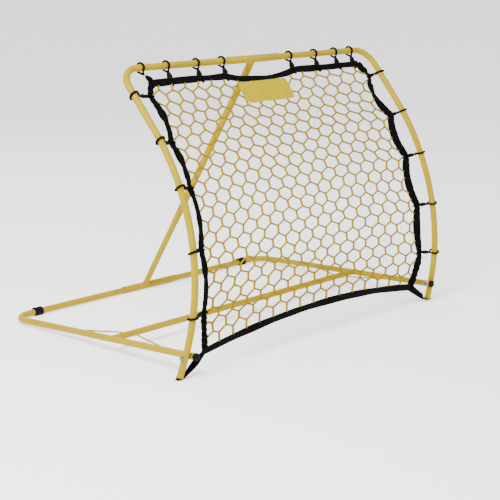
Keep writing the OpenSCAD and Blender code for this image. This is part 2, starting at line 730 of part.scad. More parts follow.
// webbing swept through stations [centre, half width, half thickness]
module webbing(stations) {
    n = len(stations);
    points = [for (t = stations) each [t[0] - t[1] - t[2], t[0] + t[1] - t[2],
                                       t[0] + t[1] + t[2], t[0] - t[1] + t[2]]];
    sides = [for (i = [0 : n - 2], j = [0 : 3])
        let (a = 4 * i + j, b = 4 * i + (j + 1) % 4) each [[a, b + 4, b], [a, a + 4, b + 4]]];
    color(BLACK) polyhedron(points, concat(
        [[0, 2, 3], [0, 1, 2]], sides, [[4 * n - 4, 4 * n - 2, 4 * n - 3], [4 * n - 4, 4 * n - 1, 4 * n - 2]]));
}

module top_hem() {
    steps = 32;
    reach = hem_half - corner_draw;
    webbing([for (i = [0 : steps]) let (x = mix(-reach, reach, i / steps), s = top_s(x))
        [net_at(x, s), up_normal(s) * web_w / 2, -rear_normal(s) * web_half]]);
}

module side_hem(ties, side) {
    steps = 48;
    low = bottom_s(hem_half);
    high = hem_top;
    last = ties[len(ties) - 1];
    webbing([for (i = [0 : steps])
        let (s = mix(low, high, i / steps), w = between(ties, s),
             roll = mix(tie_roll_angle, bay_roll_angle, w),
             x = side * (hem_x(ties, s) - corner_draw * clamp((s - last) / (high - last), 0, 1)))
        [net_at(x, s),
         ([side, 0, 0] * cos(roll) - rear_normal(s) * sin(roll)) * mix(side_web_w * 0.8, side_web_w, w) / 2,
         (rear_normal(s) * cos(roll) * side + [1, 0, 0] * sin(roll)) * web_half]]);
}

module left_hem() { side_hem(left_ties, -1); }
module right_hem() { side_hem(right_ties, 1); }

// bottom webbing: an arc under the net, then a strap down to each foot
strap_end = foot_point + [glide_d * 0.45, 0, strap_z];
strap_in = foot_point + [-tube_r, 0, strap_z];
function strap_station(t) = let (low = bottom_s(hem_half), top = net_at(hem_half, low))
    [mix(top, strap_in, t),
     mix(up_normal(low) * web_w / 2, [0, 1, 0] * glide_d * 0.4, t),
     mix(-rear_normal(low), [0, 0, 1], t) * web_half * mix(1, 0.8, t)];
module bottom_hem() {
    steps = 32;
    turns = 6;
    tip = strap_station(1);
    right = concat([for (i = [1 : turns]) strap_station(i / turns)], [[strap_end, tip[1], tip[2]]]);
    left = [for (i = [len(right) - 1 : -1 : 0]) [flip(right[i][0]), right[i][1], right[i][2]]];
    arc = [for (i = [0 : steps]) let (x = mix(-hem_half, hem_half, i / steps), s = bottom_s(x))
        [net_at(x, s), up_normal(s) * web_w / 2, -rear_normal(s) * web_half]];
    webbing(concat(left, arc, right));
}

// the patch hangs from the front of the top hem, clear of the net behind it
function patch_point(s) = net_at(patch_x, s, -max(web_half, net_cord) - side_gap);

module label_patch() {
    top = top_s(0) + web_w * 0.1;
    low = top - patch_h;
    round_r = patch_h * 0.28;
    up = unit(patch_point(top) - patch_point(low));
    color(YELLOW) frame_at(patch_point(low), [1, 0, 0], cross([1, 0, 0], up))
        linear_extrude(patch_t) union() {
            translate([-patch_w / 2 + round_r, 0]) square([patch_w - round_r * 2, patch_h]);
            translate([-patch_w / 2, round_r]) square([patch_w, patch_h - round_r]);
            for (x = [-1, 1]) translate([x * (patch_w / 2 - round_r), round_r]) circle(round_r);
        }
}

// ---- ties: a loop round the tube, a toggle and a tail into the webbing ----
loop_r = (tube_r + cord_r + tie_gap) / cos(tie_angle);

// q is on the tube's axis, along its direction, h the point of the webbing
module tie_loop(q, along, h) {
    pull = unit(h - q - along * ((h - q) * along));
    tilted = turned(tie_angle, pull, along);
    color(BLACK) {
        frame_at(q, pull, tilted) rotate_extrude($fn = cord_fn * 2) translate([loop_r, 0])
            circle(cord_r, $fn = cord_fn);
        rod_between(q + pull * loop_r, h, cord_r * 0.98, $fn = cord_fn);
    }
}

module tie_toggle(q, along, h) {
    pull = unit(h - q - along * ((h - q) * along));
    start = q + pull * loop_r;
    dir = unit(h - start);
    r = toggle_d / 2;
    color(BLACK) frame_at(start + dir * toggle_gap, [0, 0.6, 0.8], dir) rotate_extrude($fn = cord_fn)
        polygon([[cord_r + 0.1, 0], [r * 0.7, 0], [r, toggle_len * 0.15], [r, toggle_len * 0.6],
                 [r * 0.6, toggle_len * 0.75], [r * 0.6, toggle_len], [cord_r + 0.1, toggle_len]]);
}

function side_tie(s, side) = [side < 0 ? flip(side_at(s)) : side_at(s),
    side < 0 ? flip(side_dir(s)) : side_dir(s), net_at(side * hem_half, s)];
function top_tie(x) = let (reach = hem_half - corner_draw - seam, hx = clamp(x, -reach, reach))
    [[x, top_corner.y, top_corner.z], [1, 0, 0], net_at(hx, top_s(hx) + seam)];
all_ties = concat([for (x = top_ties) top_tie(x)], [for (s = left_ties) side_tie(s, -1)],
                  [for (s = right_ties) side_tie(s, 1)]);

module top_tie_loops() { for (x = top_ties) let (t = top_tie(x)) tie_loop(t[0], t[1], t[2]); }
module left_tie_loops() { for (s = left_ties) let (t = side_tie(s, -1)) tie_loop(t[0], t[1], t[2]); }
module right_tie_loops() { for (s = right_ties) let (t = side_tie(s, 1)) tie_loop(t[0], t[1], t[2]); }
module tie_toggles() { for (t = all_ties) tie_toggle(t[0], t[1], t[2]); }

base_arm_left();
base_arm_right();
crossbar();
brace_rods_left();
brace_rods_right();
rear_corner_left();
rear_corner_right();
ground_band_left();
ground_band_right();
arm_caps();
pivot_bolts();
pivot_nuts();
pivot_washers();
rear_stop_pins();
rear_button_left();
rear_button_right();
rear_button_springs();
side_tube_left();
side_tube_right();
top_corner_left();
top_corner_right();
top_button_left();
top_button_right();
top_button_springs();
top_stop_pins();
foot_caps();
foot_glides();
net();
top_hem();
left_hem();
right_hem();
bottom_hem();
label_patch();
top_tie_loops();
left_tie_loops();
right_tie_loops();
tie_toggles();
top_sleeve();
strut_outer_tube();
rear_sleeve();
strut_inner_tube();
strut_button();
strut_button_spring();
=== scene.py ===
"""Dresses the pitch back rebounder: net, webbing, elastic ties, welds, trim and finishes.

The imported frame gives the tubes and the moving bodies. Everything soft is worked out here on
the line of the bowed side tubes, and every length is in metres.
"""

import json
import logging
import math
from dataclasses import dataclass, field
from enum import Enum
from functools import cache
from typing import Any, ClassVar, Sequence

import bpy
import numpy as np
from mathutils import Euler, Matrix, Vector
from numpy.typing import NDArray

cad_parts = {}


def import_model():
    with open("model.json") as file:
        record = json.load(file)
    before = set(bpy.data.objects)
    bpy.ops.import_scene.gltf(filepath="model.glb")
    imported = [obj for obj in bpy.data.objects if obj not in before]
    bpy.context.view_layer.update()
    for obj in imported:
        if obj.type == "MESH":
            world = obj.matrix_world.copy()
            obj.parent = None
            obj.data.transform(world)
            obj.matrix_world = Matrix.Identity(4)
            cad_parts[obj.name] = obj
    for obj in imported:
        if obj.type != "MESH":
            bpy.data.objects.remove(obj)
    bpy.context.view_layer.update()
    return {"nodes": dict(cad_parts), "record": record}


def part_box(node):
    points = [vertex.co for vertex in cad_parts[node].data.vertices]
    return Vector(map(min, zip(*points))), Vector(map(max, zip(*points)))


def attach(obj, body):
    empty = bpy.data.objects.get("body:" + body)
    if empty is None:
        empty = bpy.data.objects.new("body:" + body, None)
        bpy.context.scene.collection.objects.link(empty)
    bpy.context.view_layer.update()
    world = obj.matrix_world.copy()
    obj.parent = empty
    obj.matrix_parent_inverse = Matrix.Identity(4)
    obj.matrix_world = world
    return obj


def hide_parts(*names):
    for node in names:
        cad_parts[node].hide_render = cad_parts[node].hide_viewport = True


Array = NDArray[np.float64]
Indices = NDArray[np.int64]
Line = tuple[Array, Array, Array]
Colour = tuple[float, float, float]
Point = tuple[float, float, float]
Wave = tuple[float, float, float]
Material = bpy.types.Material
Piece = bpy.types.Object
Socket = bpy.types.NodeSocket

LOG = logging.getLogger("rebounder")
TINY = 1e-12
DOUBLE = 2e-6


class Body(str, Enum):
    """The moving bodies that pieces ride on."""

    GROUND = "ground_frame"
    NET = "net_frame"
    STRUT_UPPER = "strut_upper"
    STRUT_LOWER = "strut_lower"


class Side(Enum):
    """The two sides of the frame, with the sign of X on each."""

    LEFT = -1
    RIGHT = 1

    @property
    def flip(self) -> Array:
        """Factors that carry a point of the right side to this one."""
        return np.array([self.value, 1.0, 1.0])


class Slot(str, Enum):
    """The record's material slots that new pieces take their finish from."""

    ENAMEL = "yellow_enamel"
    PLASTIC = "black_plastic"
    TOGGLE = "toggle_plastic"
    RUBBER = "rubber"
    BLACK_STEEL = "black_steel"
    BRIGHT = "bright_steel"
    SPRING = "spring_steel"
    NET = "net_cord"
    WEBBING = "webbing"
    ELASTIC = "elastic_cord"
    PATCH = "patch_cloth"


# ---------------------------------------------------------------- arrays


def unit(v: Array) -> Array:
    """Gives vectors of length one along the last axis."""
    return v / np.maximum(np.linalg.norm(v, axis=-1, keepdims=True), TINY)


def vec(x: float, y: float, z: float) -> Array:
    """Gives one point or direction as an array."""
    return np.array([x, y, z], dtype=float)


def square(v: Array, to: Array) -> Array:
    """Gives unit vectors along v, made square to the unit vectors `to`."""
    return unit(v - to * np.sum(v * to, axis=-1, keepdims=True))


def waves(x: Array, *terms: Wave) -> Array:
    """Adds up a sin(f x + p) over the waves (a, f, p)."""
    return np.sum([a * np.sin(f * x + p) for a, f, p in terms], axis=0)


def smooth(t: Array) -> Array:
    """Eases 0 to 1 with level ends: 3t² - 2t³."""
    t = np.clip(t, 0.0, 1.0)
    return t * t * (3.0 - 2.0 * t)


def angles(count: int) -> Array:
    """Gives evenly spaced angles once round, from 0 on."""
    return np.linspace(0.0, 2.0 * math.pi, count, endpoint=False)


def bent(v: Array, power: float) -> Array:
    """Raises the sizes of numbers to a power and keeps their signs."""
    return np.sign(v) * np.abs(v) ** power


def circle(radius: float, sides: int) -> Array:
    """Gives the points of a round section, (cos, sin) times the radius."""
    a = angles(sides)
    return radius * np.stack([np.cos(a), np.sin(a)], axis=-1)


def strap_section(width: float, thick: float, rim: float, sides: int) -> Array:
    """Gives a strap's section, flat with a rounded, thickened rim along each edge.

    The half thickness at a share u of the half width is thick/2 times
    (1 + rim exp(-((1-|u|)/0.16)²)), closed by a power of the circle at the edge.

    Args:
        width: Full width of the strap.
        thick: Thickness at the middle.
        rim: How much thicker the rims are, as a share.
        sides: Number of points round the section.

    Returns:
        Points (across, through) round the section, as rows.
    """
    a = angles(sides)
    u = bent(np.cos(a), 0.7)
    body = 1.0 + rim * np.exp(-(((1.0 - np.abs(u)) / 0.16) ** 2))
    v = bent(np.sin(a), 0.5) * body
    return np.stack([u * width / 2.0, v * thick / 2.0], axis=-1)


def sweep(path: Array, across: Array, section: Array, scale: Array | float = 1.0,
          closed: bool = False) -> Array:
    """Carries a section along a path.

    Ring i is path[i] + p N + q B, where T is the path's direction, N is `across` made square
    to T, and B = T x N.

    Args:
        path: Points (..., rings, 3).
        across: Directions of the section's first axis, (..., rings, 3) or (3,).
        section: Section points (sides, 2), or (..., rings, sides, 2).
        scale: Number or (..., rings) that the section is multiplied by.
        closed: Whether the path joins its own start.

    Returns:
        Points (..., rings, sides, 3).
    """
    if closed:
        tangent = np.roll(path, -1, axis=-2) - np.roll(path, 1, axis=-2)
    else:
        tangent = np.gradient(path, axis=-2)
    tangent = unit(tangent)
    first = square(np.broadcast_to(across, path.shape), tangent)
    second = np.cross(tangent, first)
    size = np.broadcast_to(np.asarray(scale, dtype=float), path.shape[:-1])[..., None, None]
    p, q = section[..., 0:1] * size, section[..., 1:2] * size
    return path[..., None, :] + p * first[..., None, :] + q * second[..., None, :]


def track(x: Array | float, y: Array | float, first: Array, second: Array) -> Array:
    """Gives x N + y B for rows of points (x, y) and one pair of directions N, B per piece."""
    return np.asarray(x)[..., None] * first[:, None] + np.asarray(y)[..., None] * second[:, None]


def turned(profile: Array, base: Array, axis: Array, sides: int) -> Array:
    """Turns a profile of (distance along, radius) about an axis.

    Args:
        profile: Rows of (distance along the axis, radius).
        base: Start of the axis, (..., 3).
        axis: Unit direction of the axis, (..., 3).
        sides: Number of points round.

    Returns:
        Points (..., rows, sides, 3).
    """
    path = base[..., None, :] + profile[:, 0:1] * axis[..., None, :]
    helper = np.where(np.abs(axis[..., 2:3]) > 0.8, vec(1, 0, 0), vec(0, 0, 1))
    first = square(helper, axis)
    second = np.cross(axis, first)
    ring = circle(1.0, sides)
    spoke = ring[:, 0:1] * first[..., None, :] + ring[:, 1:2] * second[..., None, :]
    return path[..., None, :] + profile[:, 1][:, None, None] * spoke[..., None, :, :]


def rounded_profile(length: float, radius: float, edge: float, steps: int = 4) -> Array:
    """Gives a turned cylinder's profile with both rims rounded by quarter circles.

    Args:
        length: Length along the axis.
        radius: Outer radius.
        edge: Radius of the rounded rims.
        steps: Points on each quarter circle.

    Returns:
        Rows of (distance along, radius), from axis to axis.
    """
    a = np.linspace(0.0, math.pi / 2.0, steps)
    low = np.stack([edge * (1.0 - np.cos(a)), radius - edge * (1.0 - np.sin(a))], axis=-1)
    high = np.stack([length - low[::-1, 0], low[::-1, 1]], axis=-1)
    return np.concatenate([[[0.0, 0.0]], low, high, [[length, 0.0]]])


# ---------------------------------------------------------------- meshes


def placed(name: str, data: Any, at: Point = (0.0, 0.0, 0.0),
           turn: Point = (0.0, 0.0, 0.0)) -> Piece:
    """Puts a mesh, a light or a camera into the scene.

    Args:
        name: Name of the object.
        data: What the object shows.
        at: Where it stands.
        turn: How it is turned about x, y and z, in radians.

    Returns:
        The new object.
    """
    obj = bpy.data.objects.new(name, data)
    obj.location, obj.rotation_euler = at, Euler(turn)
    bpy.context.scene.collection.objects.link(obj)
    return obj


@dataclass
class MeshMaker:
    """Gathers grids of points and turns them into one mesh with a UV map.

    Each grid is an array (pieces, rings, sides, 3). Rings run along a piece and sides run
    round it. The UV map holds (distance along, distance round) in metres.
    """

    name: str
    verts: list[Array] = field(default_factory=list)
    faces: list[Indices] = field(default_factory=list)
    coords: list[Array] = field(default_factory=list)
    count: int = 0

    def add(self, grid: Array, closed_rings: bool = False, caps: bool = True) -> "MeshMaker":
        """Adds grids of quads, closed round their sides, with faces that point outwards.

        Args:
            grid: Points (rings, sides, 3) or (pieces, rings, sides, 3).
            closed_rings: Whether the last ring joins the first.
            caps: Whether open ends are closed by a fan to their middle.

        Returns:
            This maker, so that calls can follow each other.
        """
        grid = grid if grid.ndim == 4 else grid[None]
        pieces, rings, sides, _ = grid.shape
        if caps and not closed_rings:
            low, high = (np.repeat(grid[:, end].mean(axis=2, keepdims=True), sides, axis=2)
                         for end in (slice(0, 1), slice(-1, None)))
            grid = np.concatenate([low, grid, high], axis=1)
            rings += 2
        index = np.arange(pieces * rings * sides).reshape(pieces, rings, sides)
        i, j = np.meshgrid(np.arange(rings if closed_rings else rings - 1), np.arange(sides),
                           indexing="ij")
        corners = ((i, j), (i, j + 1), (i + 1, j + 1), (i + 1, j))
        quad = np.stack([index[:, a % rings, b % sides] for a, b in corners], axis=-1)
        along, around = self._steps(grid.mean(axis=2)), self._steps(grid[:, rings // 2])
        uv = np.stack([np.stack([along[:, a] for a, _ in corners], axis=-1),
                       np.stack([around[:, b] for _, b in corners], axis=-1)], axis=-1)
        quad, uv = quad.reshape(-1, 4), uv.reshape(-1, 4, 2)
        flat = grid.reshape(-1, 3)
        if self._volume(flat, quad) < 0.0:
            quad, uv = quad[:, ::-1], uv[:, ::-1]
        self.verts.append(flat)
        self.faces.append(quad + self.count)
        self.coords.append(uv)
        self.count += flat.shape[0]
        return self

    @staticmethod
    def _steps(points: Array) -> Array:
        """Gives the distances walked along rows of points and back to each row's first one."""
        step = np.linalg.norm(np.roll(points, -1, axis=1) - points, axis=-1)
        return np.concatenate([np.zeros((len(points), 1)), np.cumsum(step, axis=1)], axis=1)

    @staticmethod
    def _volume(points: Array, quads: Indices) -> float:
        """Gives six times the signed volume inside quads, by fans from the first corner."""
        a, b, c, d = (points[quads[:, k]] - points[0] for k in range(4))
        return float(np.sum(a * np.cross(b, c)) + np.sum(a * np.cross(c, d)))

    def build(self, body: Body, slot: Slot, replaces: Sequence[str] = (),
              paint: Material | None = None) -> Piece:
        """Makes the mesh object, welds doubles, and hands it to the frame.

        Args:
            body: Moving body that carries it.
            slot: Record slot that it takes its material from.
            replaces: CAD nodes that it stands for.
            paint: Material in place of the slot's own.

        Returns:
            The finished object.
        """
        verts, faces = np.concatenate(self.verts), np.concatenate(self.faces)
        uv = np.concatenate(self.coords)
        key = np.round(verts / DOUBLE).astype(np.int64)
        _, first, back = np.unique(key, axis=0, return_index=True, return_inverse=True)
        faces = back.reshape(-1)[faces]
        nxt = np.roll(faces, -1, axis=1)
        keep = faces != nxt
        sizes = keep.sum(axis=1)
        good = sizes >= 3
        faces, keep, sizes, uv = faces[good], keep[good], sizes[good], uv[good]
        loops = faces[keep]
        mesh = bpy.data.meshes.new(self.name)
        mesh.vertices.add(len(first))
        mesh.vertices.foreach_set("co", verts[first].ravel())
        mesh.loops.add(len(loops))
        mesh.loops.foreach_set("vertex_index", loops.astype(np.int32))
        mesh.polygons.add(len(sizes))
        starts = np.concatenate([[0], np.cumsum(sizes)[:-1]]).astype(np.int32)
        mesh.polygons.foreach_set("loop_start", starts)
        mesh.polygons.foreach_set("use_smooth", np.ones(len(sizes), dtype=bool))
        mesh.update(calc_edges=True)
        layer = mesh.uv_layers.new(name="length")
        layer.data.foreach_set("uv", uv[keep].ravel())
        mesh.validate()
        obj = placed(self.name, mesh)
        obj.data.materials.append(material(slot) if paint is None else paint)
        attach(obj, body.value)
        if replaces:
            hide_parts(*replaces)
        LOG.info("%s: %d vertices, %d faces", self.name, len(first), len(sizes))
        return obj


# ---------------------------------------------------------------- finishes


@dataclass
class Graph:
    """Builds one material's nodes."""

    name: str

    def __post_init__(self) -> None:
        """Makes the material with a plain shader and its output."""
        self.material = bpy.data.materials.new(self.name)
        self.material.use_nodes = True
        self.tree = self.material.node_tree
        self.shader = self.tree.nodes["Principled BSDF"]

    def node(self, kind: str, inputs: dict[str, Any] | None = None, **settings: Any) -> Any:
        """Adds a node, sets its properties, and fills or links its inputs.

        Args:
            kind: Blender's name for the node type.
            inputs: Values or output sockets, by input name or number.
            **settings: Properties of the node itself.

        Returns:
            The new node.
        """
        made = self.tree.nodes.new(kind)
        for key, value in settings.items():
            setattr(made, key, value)
        for key, value in (inputs or {}).items():
            self._fill(made.inputs[int(key) if key.isdigit() else key], value)
        return made

    def _fill(self, socket: Socket, value: Any) -> None:
        """Links an input to another node's output, or gives it a value.

        Args:
            socket: The input.
            value: An output socket or a plain value.
        """
        if isinstance(value, Socket):
            self.tree.links.new(value, socket)
        else:
            socket.default_value = value

    def set(self, **values: Any) -> None:
        """Fills or links the shader's own inputs, whose names have underscores for spaces."""
        for key, value in values.items():
            self._fill(self.shader.inputs[key.replace("_", " ")], value)

    def noise(self, where: Socket, scale: float, detail: float = 2.0) -> Socket:
        """Gives a cloudy pattern from 0 to 1."""
        inputs = {"Vector": where, "Scale": scale, "Detail": detail}
        return self.node("ShaderNodeTexNoise", inputs).outputs[0]

    def ramp(self, factor: Socket, low: Colour, high: Colour,
             start: float = 0.35, end: float = 0.65) -> Socket:
        """Blends two colours between two values of a pattern.

        Args:
            factor: Pattern that the blend follows.
            low: Colour up to the start.
            high: Colour from the end on.
            start: Value where the blend starts.
            end: Value where the blend ends.

        Returns:
            The blended colour.
        """
        made = self.node("ShaderNodeValToRGB", {"Fac": factor})
        stops = made.color_ramp.elements
        stops[0].position, stops[0].color = start, (*low, 1.0)
        stops[1].position, stops[1].color = end, (*high, 1.0)
        return made.outputs["Color"]

    def span(self, factor: Socket, low: float, high: float) -> Socket:
        """Maps a pattern from 0 to 1 onto two numbers."""
        inputs = {"Value": factor, "To Min": low, "To Max": high}
        return self.node("ShaderNodeMapRange", inputs).outputs[0]

    def math(self, operation: str, a: Socket, b: Socket | float = 0.0) -> Socket:
        """Does one sum on patterns."""
        return self.node("ShaderNodeMath", {"0": a, "1": b}, operation=operation).outputs[0]

    def bump(self, height: Socket, strength: float, distance: float,
             under: Socket | None = None) -> Socket:
        """Gives a normal that stands up with the pattern's height.

        Args:
            height: Pattern of heights.
            strength: Share of the full effect.
            distance: Metres that a height of one stands up.
            under: Normal that it is added to.

        Returns:
            The normal.
        """
        inputs = {"Height": height, "Strength": strength, "Distance": distance}
        if under is not None:
            inputs["Normal"] = under
        return self.node("ShaderNodeBump", inputs).outputs["Normal"]

    def weave(self, pitch_along: float, pitch_round: float) -> Socket:
        """Gives a plain weave on the UV map: sin(u) times sin(v) at the yarns' pitches.

        Args:
            pitch_along: Two yarns' width along the piece.
            pitch_round: Two yarns' width round it.

        Returns:
            The pattern, from 0 to 1.
        """
        place = self.node("ShaderNodeUVMap", uv_map="length").outputs["UV"]
        parts = self.node("ShaderNodeSeparateXYZ", {"Vector": place})
        yarns = [self.math("SINE", self.math("MULTIPLY", parts.outputs[k], 2.0 * math.pi / pitch))
                 for k, pitch in enumerate((pitch_along, pitch_round))]
        return self.span(self.math("MULTIPLY", *yarns), 0.0, 1.0)


@dataclass(frozen=True)
class Finish:
    """A procedural finish between two shades. Each kind adds its own patterns."""

    light: Colour
    dark: Colour
    roughness: float

    def make(self, name: str) -> Material:
        """Builds the material.

        Args:
            name: Name of the material.

        Returns:
            The finished material.
        """
        g = Graph(name)
        self.dress(g, g.node("ShaderNodeTexCoord").outputs["Object"])
        return g.material

    def rough(self, g: Graph, pattern: Socket, smoother: float) -> Socket:
        """Varies the roughness with a pattern, from `smoother` below its value to 0.1 above."""
        return g.span(pattern, self.roughness - smoother, self.roughness + 0.1)

    def dress(self, g: Graph, where: Socket) -> None:
        """Sets the shader from patterns.

        Args:
            g: Nodes of the material.
            where: Coordinates of a place on the object.
        """
        raise NotImplementedError


@dataclass(frozen=True)
class PaintFinish(Finish):
    """Gloss powder coat with a faint orange peel and small shade changes."""

    peel: float = 0.00012
    grain: float = 0.00004
    gloss: float = 0.09

    def dress(self, g: Graph, where: Socket) -> None:
        """Lays cloudy shades under a fine grain and a coarser peel.

        Args:
            g: Nodes of the material.
            where: Coordinates of a place on the object.
        """
        clouds, patches = g.noise(where, 9.0, detail=4.0), g.noise(where, 60.0, detail=3.0)
        orange, grain = g.noise(where, 420.0, detail=1.0), g.noise(where, 1500.0, detail=0.0)
        peel = g.bump(orange, strength=0.3, distance=self.peel)
        g.set(Base_Color=g.ramp(clouds, self.dark, self.light, start=0.3, end=0.62),
              Roughness=self.rough(g, patches, smoother=0.06),
              Specular_IOR_Level=self.gloss,
              Normal=g.bump(grain, strength=0.1, distance=self.grain, under=peel))


@dataclass(frozen=True)
class MouldedFinish(Finish):
    """Black moulded plastic or rubber with a fine matt grain."""

    grain: float = 0.00005
    gloss: float = 0.04

    def dress(self, g: Graph, where: Socket) -> None:
        """Lays a fine grain over faint clouds.

        Args:
            g: Nodes of the material.
            where: Coordinates of a place on the object.
        """
        clouds, patches = g.noise(where, 80.0, detail=3.0), g.noise(where, 240.0)
        grain = g.noise(where, 1900.0, detail=1.0)
        g.set(Base_Color=g.ramp(clouds, self.dark, self.light),
              Roughness=self.rough(g, patches, smoother=0.08),
              Specular_IOR_Level=self.gloss,
              Normal=g.bump(grain, strength=0.4, distance=self.grain))


@dataclass(frozen=True)
class MetalFinish(Finish):
    """Plated steel with a light brushed grain."""

    brush: Point = (300.0, 2600.0, 2600.0)
    groove: float = 0.00003

    def dress(self, g: Graph, where: Socket) -> None:
        """Draws noise out into lines across the object.

        Args:
            g: Nodes of the material.
            where: Coordinates of a place on the object.
        """
        drawn = g.node("ShaderNodeMapping", {"Vector": where, "Scale": self.brush}).outputs[0]
        lines, clouds = g.noise(drawn, 1.0), g.noise(where, 160.0, detail=3.0)
        g.set(Base_Color=g.ramp(clouds, self.dark, self.light),
              Metallic=1.0, Roughness=self.rough(g, lines, smoother=0.05),
              Normal=g.bump(lines, strength=0.25, distance=self.groove))


@dataclass(frozen=True)
class WovenFinish(Finish):
    """Woven or braided yarn on the piece's own UV map."""

    pitch_along: float
    pitch_round: float
    depth: float
    fuzz: float = 0.0001
    gloss: float = 0.03

    def dress(self, g: Graph, where: Socket) -> None:
        """Mixes the weave with clouds for the shade and with fuzz for the relief.

        Args:
            g: Nodes of the material.
            where: Coordinates of a place on the object.
        """
        yarn, fuzz = g.weave(self.pitch_along, self.pitch_round), g.noise(where, 2400.0)
        clouds = g.noise(where, 45.0, detail=4.0)
        mixed = g.math("ADD", g.math("MULTIPLY", yarn, 0.5), g.math("MULTIPLY", clouds, 0.5))
        relief = g.bump(yarn, strength=0.7, distance=self.depth)
        g.set(Base_Color=g.ramp(mixed, self.dark, self.light, start=0.2, end=0.75),
              Roughness=self.rough(g, fuzz, smoother=0.08),
              Specular_IOR_Level=self.gloss,
              Normal=g.bump(fuzz, strength=0.3, distance=self.fuzz, under=relief))


YARN = (0.0012, 0.0012, 0.0014)
FINISHES: dict[Slot, Finish] = {
    Slot.ENAMEL: PaintFinish((0.315, 0.218, 0.0), (0.28, 0.186, 0.0), 0.3),
    Slot.PLASTIC: MouldedFinish((0.005, 0.005, 0.006), (0.002, 0.002, 0.0025), 0.42,
                                grain=0.00008),
    Slot.TOGGLE: MouldedFinish((0.004, 0.004, 0.005), (0.0015, 0.0015, 0.002), 0.36),
    Slot.RUBBER: MouldedFinish((0.006, 0.006, 0.007), (0.003, 0.003, 0.0035), 0.62,
                               grain=0.00014),
    Slot.BLACK_STEEL: MetalFinish((0.03, 0.03, 0.032), (0.012, 0.012, 0.014), 0.36),
    Slot.BRIGHT: MetalFinish((0.24, 0.24, 0.24), (0.15, 0.15, 0.155), 0.24),
    Slot.SPRING: MetalFinish((0.23, 0.2, 0.15), (0.1, 0.09, 0.07), 0.38),
    Slot.NET: WovenFinish((0.27, 0.172, 0.0), (0.21, 0.126, 0.0), 0.82,
                          pitch_along=0.0045, pitch_round=0.0032, depth=0.0004),
    Slot.WEBBING: WovenFinish((0.004, 0.0038, 0.004), YARN, 0.82,
                              pitch_along=0.0022, pitch_round=0.0016, depth=0.0003),
    Slot.ELASTIC: WovenFinish((0.004, 0.004, 0.0045), YARN, 0.82,
                              pitch_along=0.002, pitch_round=0.0017, depth=0.0003),
    Slot.PATCH: WovenFinish((0.37, 0.285, 0.0), (0.33, 0.245, 0.0), 0.6,
                            pitch_along=0.0012, pitch_round=0.0012, depth=0.0001),
}
# Pale grey for the tie clips: a painted highlight, the glint where each knot meets its eye.
PAINTED_HIGHLIGHT_CLIP = MouldedFinish((0.14, 0.14, 0.15), (0.08, 0.08, 0.09), 0.4)


@cache
def material(slot: Slot) -> Material:
    """Gives a slot's material, made when it is first asked for."""
    return FINISHES[slot].make(slot.value)


# ---------------------------------------------------------------- lines of the frame


@dataclass(frozen=True)
class BowLine:
    """Line of the right side tube: straight foot, round bow, straight neck.

    The line is laid in a plane, turned about its chord and leant over, as the tube is.
    """

    foot_x: float = 0.720
    foot_y: float = -0.480747
    foot_lean: float = math.radians(14.6)
    straight: float = 0.094
    bow_r: float = 0.833
    bow_angle: float = math.radians(56.4)
    neck: float = 0.263
    splay: float = math.radians(2.2)
    bow_turn: float = math.radians(8.0)
    tube_r: float = 0.0125

    @property
    def bow_len(self) -> float:
        """Length of the bow."""
        return self.bow_r * self.bow_angle

    @property
    def length(self) -> float:
        """Length from the ground to the middle of the top bar."""
        return self.straight + self.bow_len + self.neck

    def lean(self, s: Array) -> Array:
        """Gives the line's lean to the rear at distances s from the ground."""
        turn = (np.asarray(s, float) - self.straight) / self.bow_r
        return np.clip(turn, 0.0, self.bow_angle) - self.foot_lean

    def _plane(self, s: Array) -> Array:
        """Gives (0, y, z) in the bow's own plane: the foot, then the arc, then the neck.

        Args:
            s: Distances along the tube from the ground.

        Returns:
            Points in the plane x = 0, in rows of three.
        """
        s = np.asarray(s, float)
        a, f = self.lean(s), self.foot_lean
        low = np.minimum(s, self.straight)
        high = np.maximum(s - self.straight - self.bow_len, 0.0)
        y = -low * math.sin(f) + self.bow_r * (math.cos(f) - np.cos(a)) + high * np.sin(a)
        z = low * math.cos(f) + self.bow_r * (np.sin(a) + math.sin(f)) + high * np.cos(a)
        return np.stack([np.zeros_like(y), y, z], axis=-1)

    def _turn(self, v: Array) -> Array:
        """Turns vectors about the chord and then leans them over by the splay.

        Args:
            v: Vectors in the bow's own plane.

        Returns:
            The vectors as the right tube has them.
        """
        chord = unit(self._plane(self.length))
        c, d = math.cos(self.bow_turn), math.sin(self.bow_turn)
        along = chord * np.sum(v * chord, axis=-1, keepdims=True)
        v = v * c - np.cross(chord, v) * d + along * (1.0 - c)
        c, d = math.cos(self.splay), math.sin(self.splay)
        x, y, z = v[..., 0], v[..., 1], v[..., 2]
        return np.stack([x * c - z * d, y, z * c + x * d], axis=-1)

    def at(self, s: Array, side: Side = Side.RIGHT) -> Array:
        """Gives points of the tube's axis at distances s from the ground."""
        p = self._turn(self._plane(s)) + vec(self.foot_x, self.foot_y, 0.0)
        return p * side.flip

    def direction(self, s: Array, side: Side = Side.RIGHT) -> Array:
        """Gives the tube's direction upwards at distances s.

        Args:
            s: Distances along the tube from the ground.
            side: Which tube.

        Returns:
            Unit vectors along the tube.
        """
        a = self.lean(s)
        d = self._turn(np.stack([np.zeros_like(a), np.sin(a), np.cos(a)], axis=-1))
        return d * side.flip


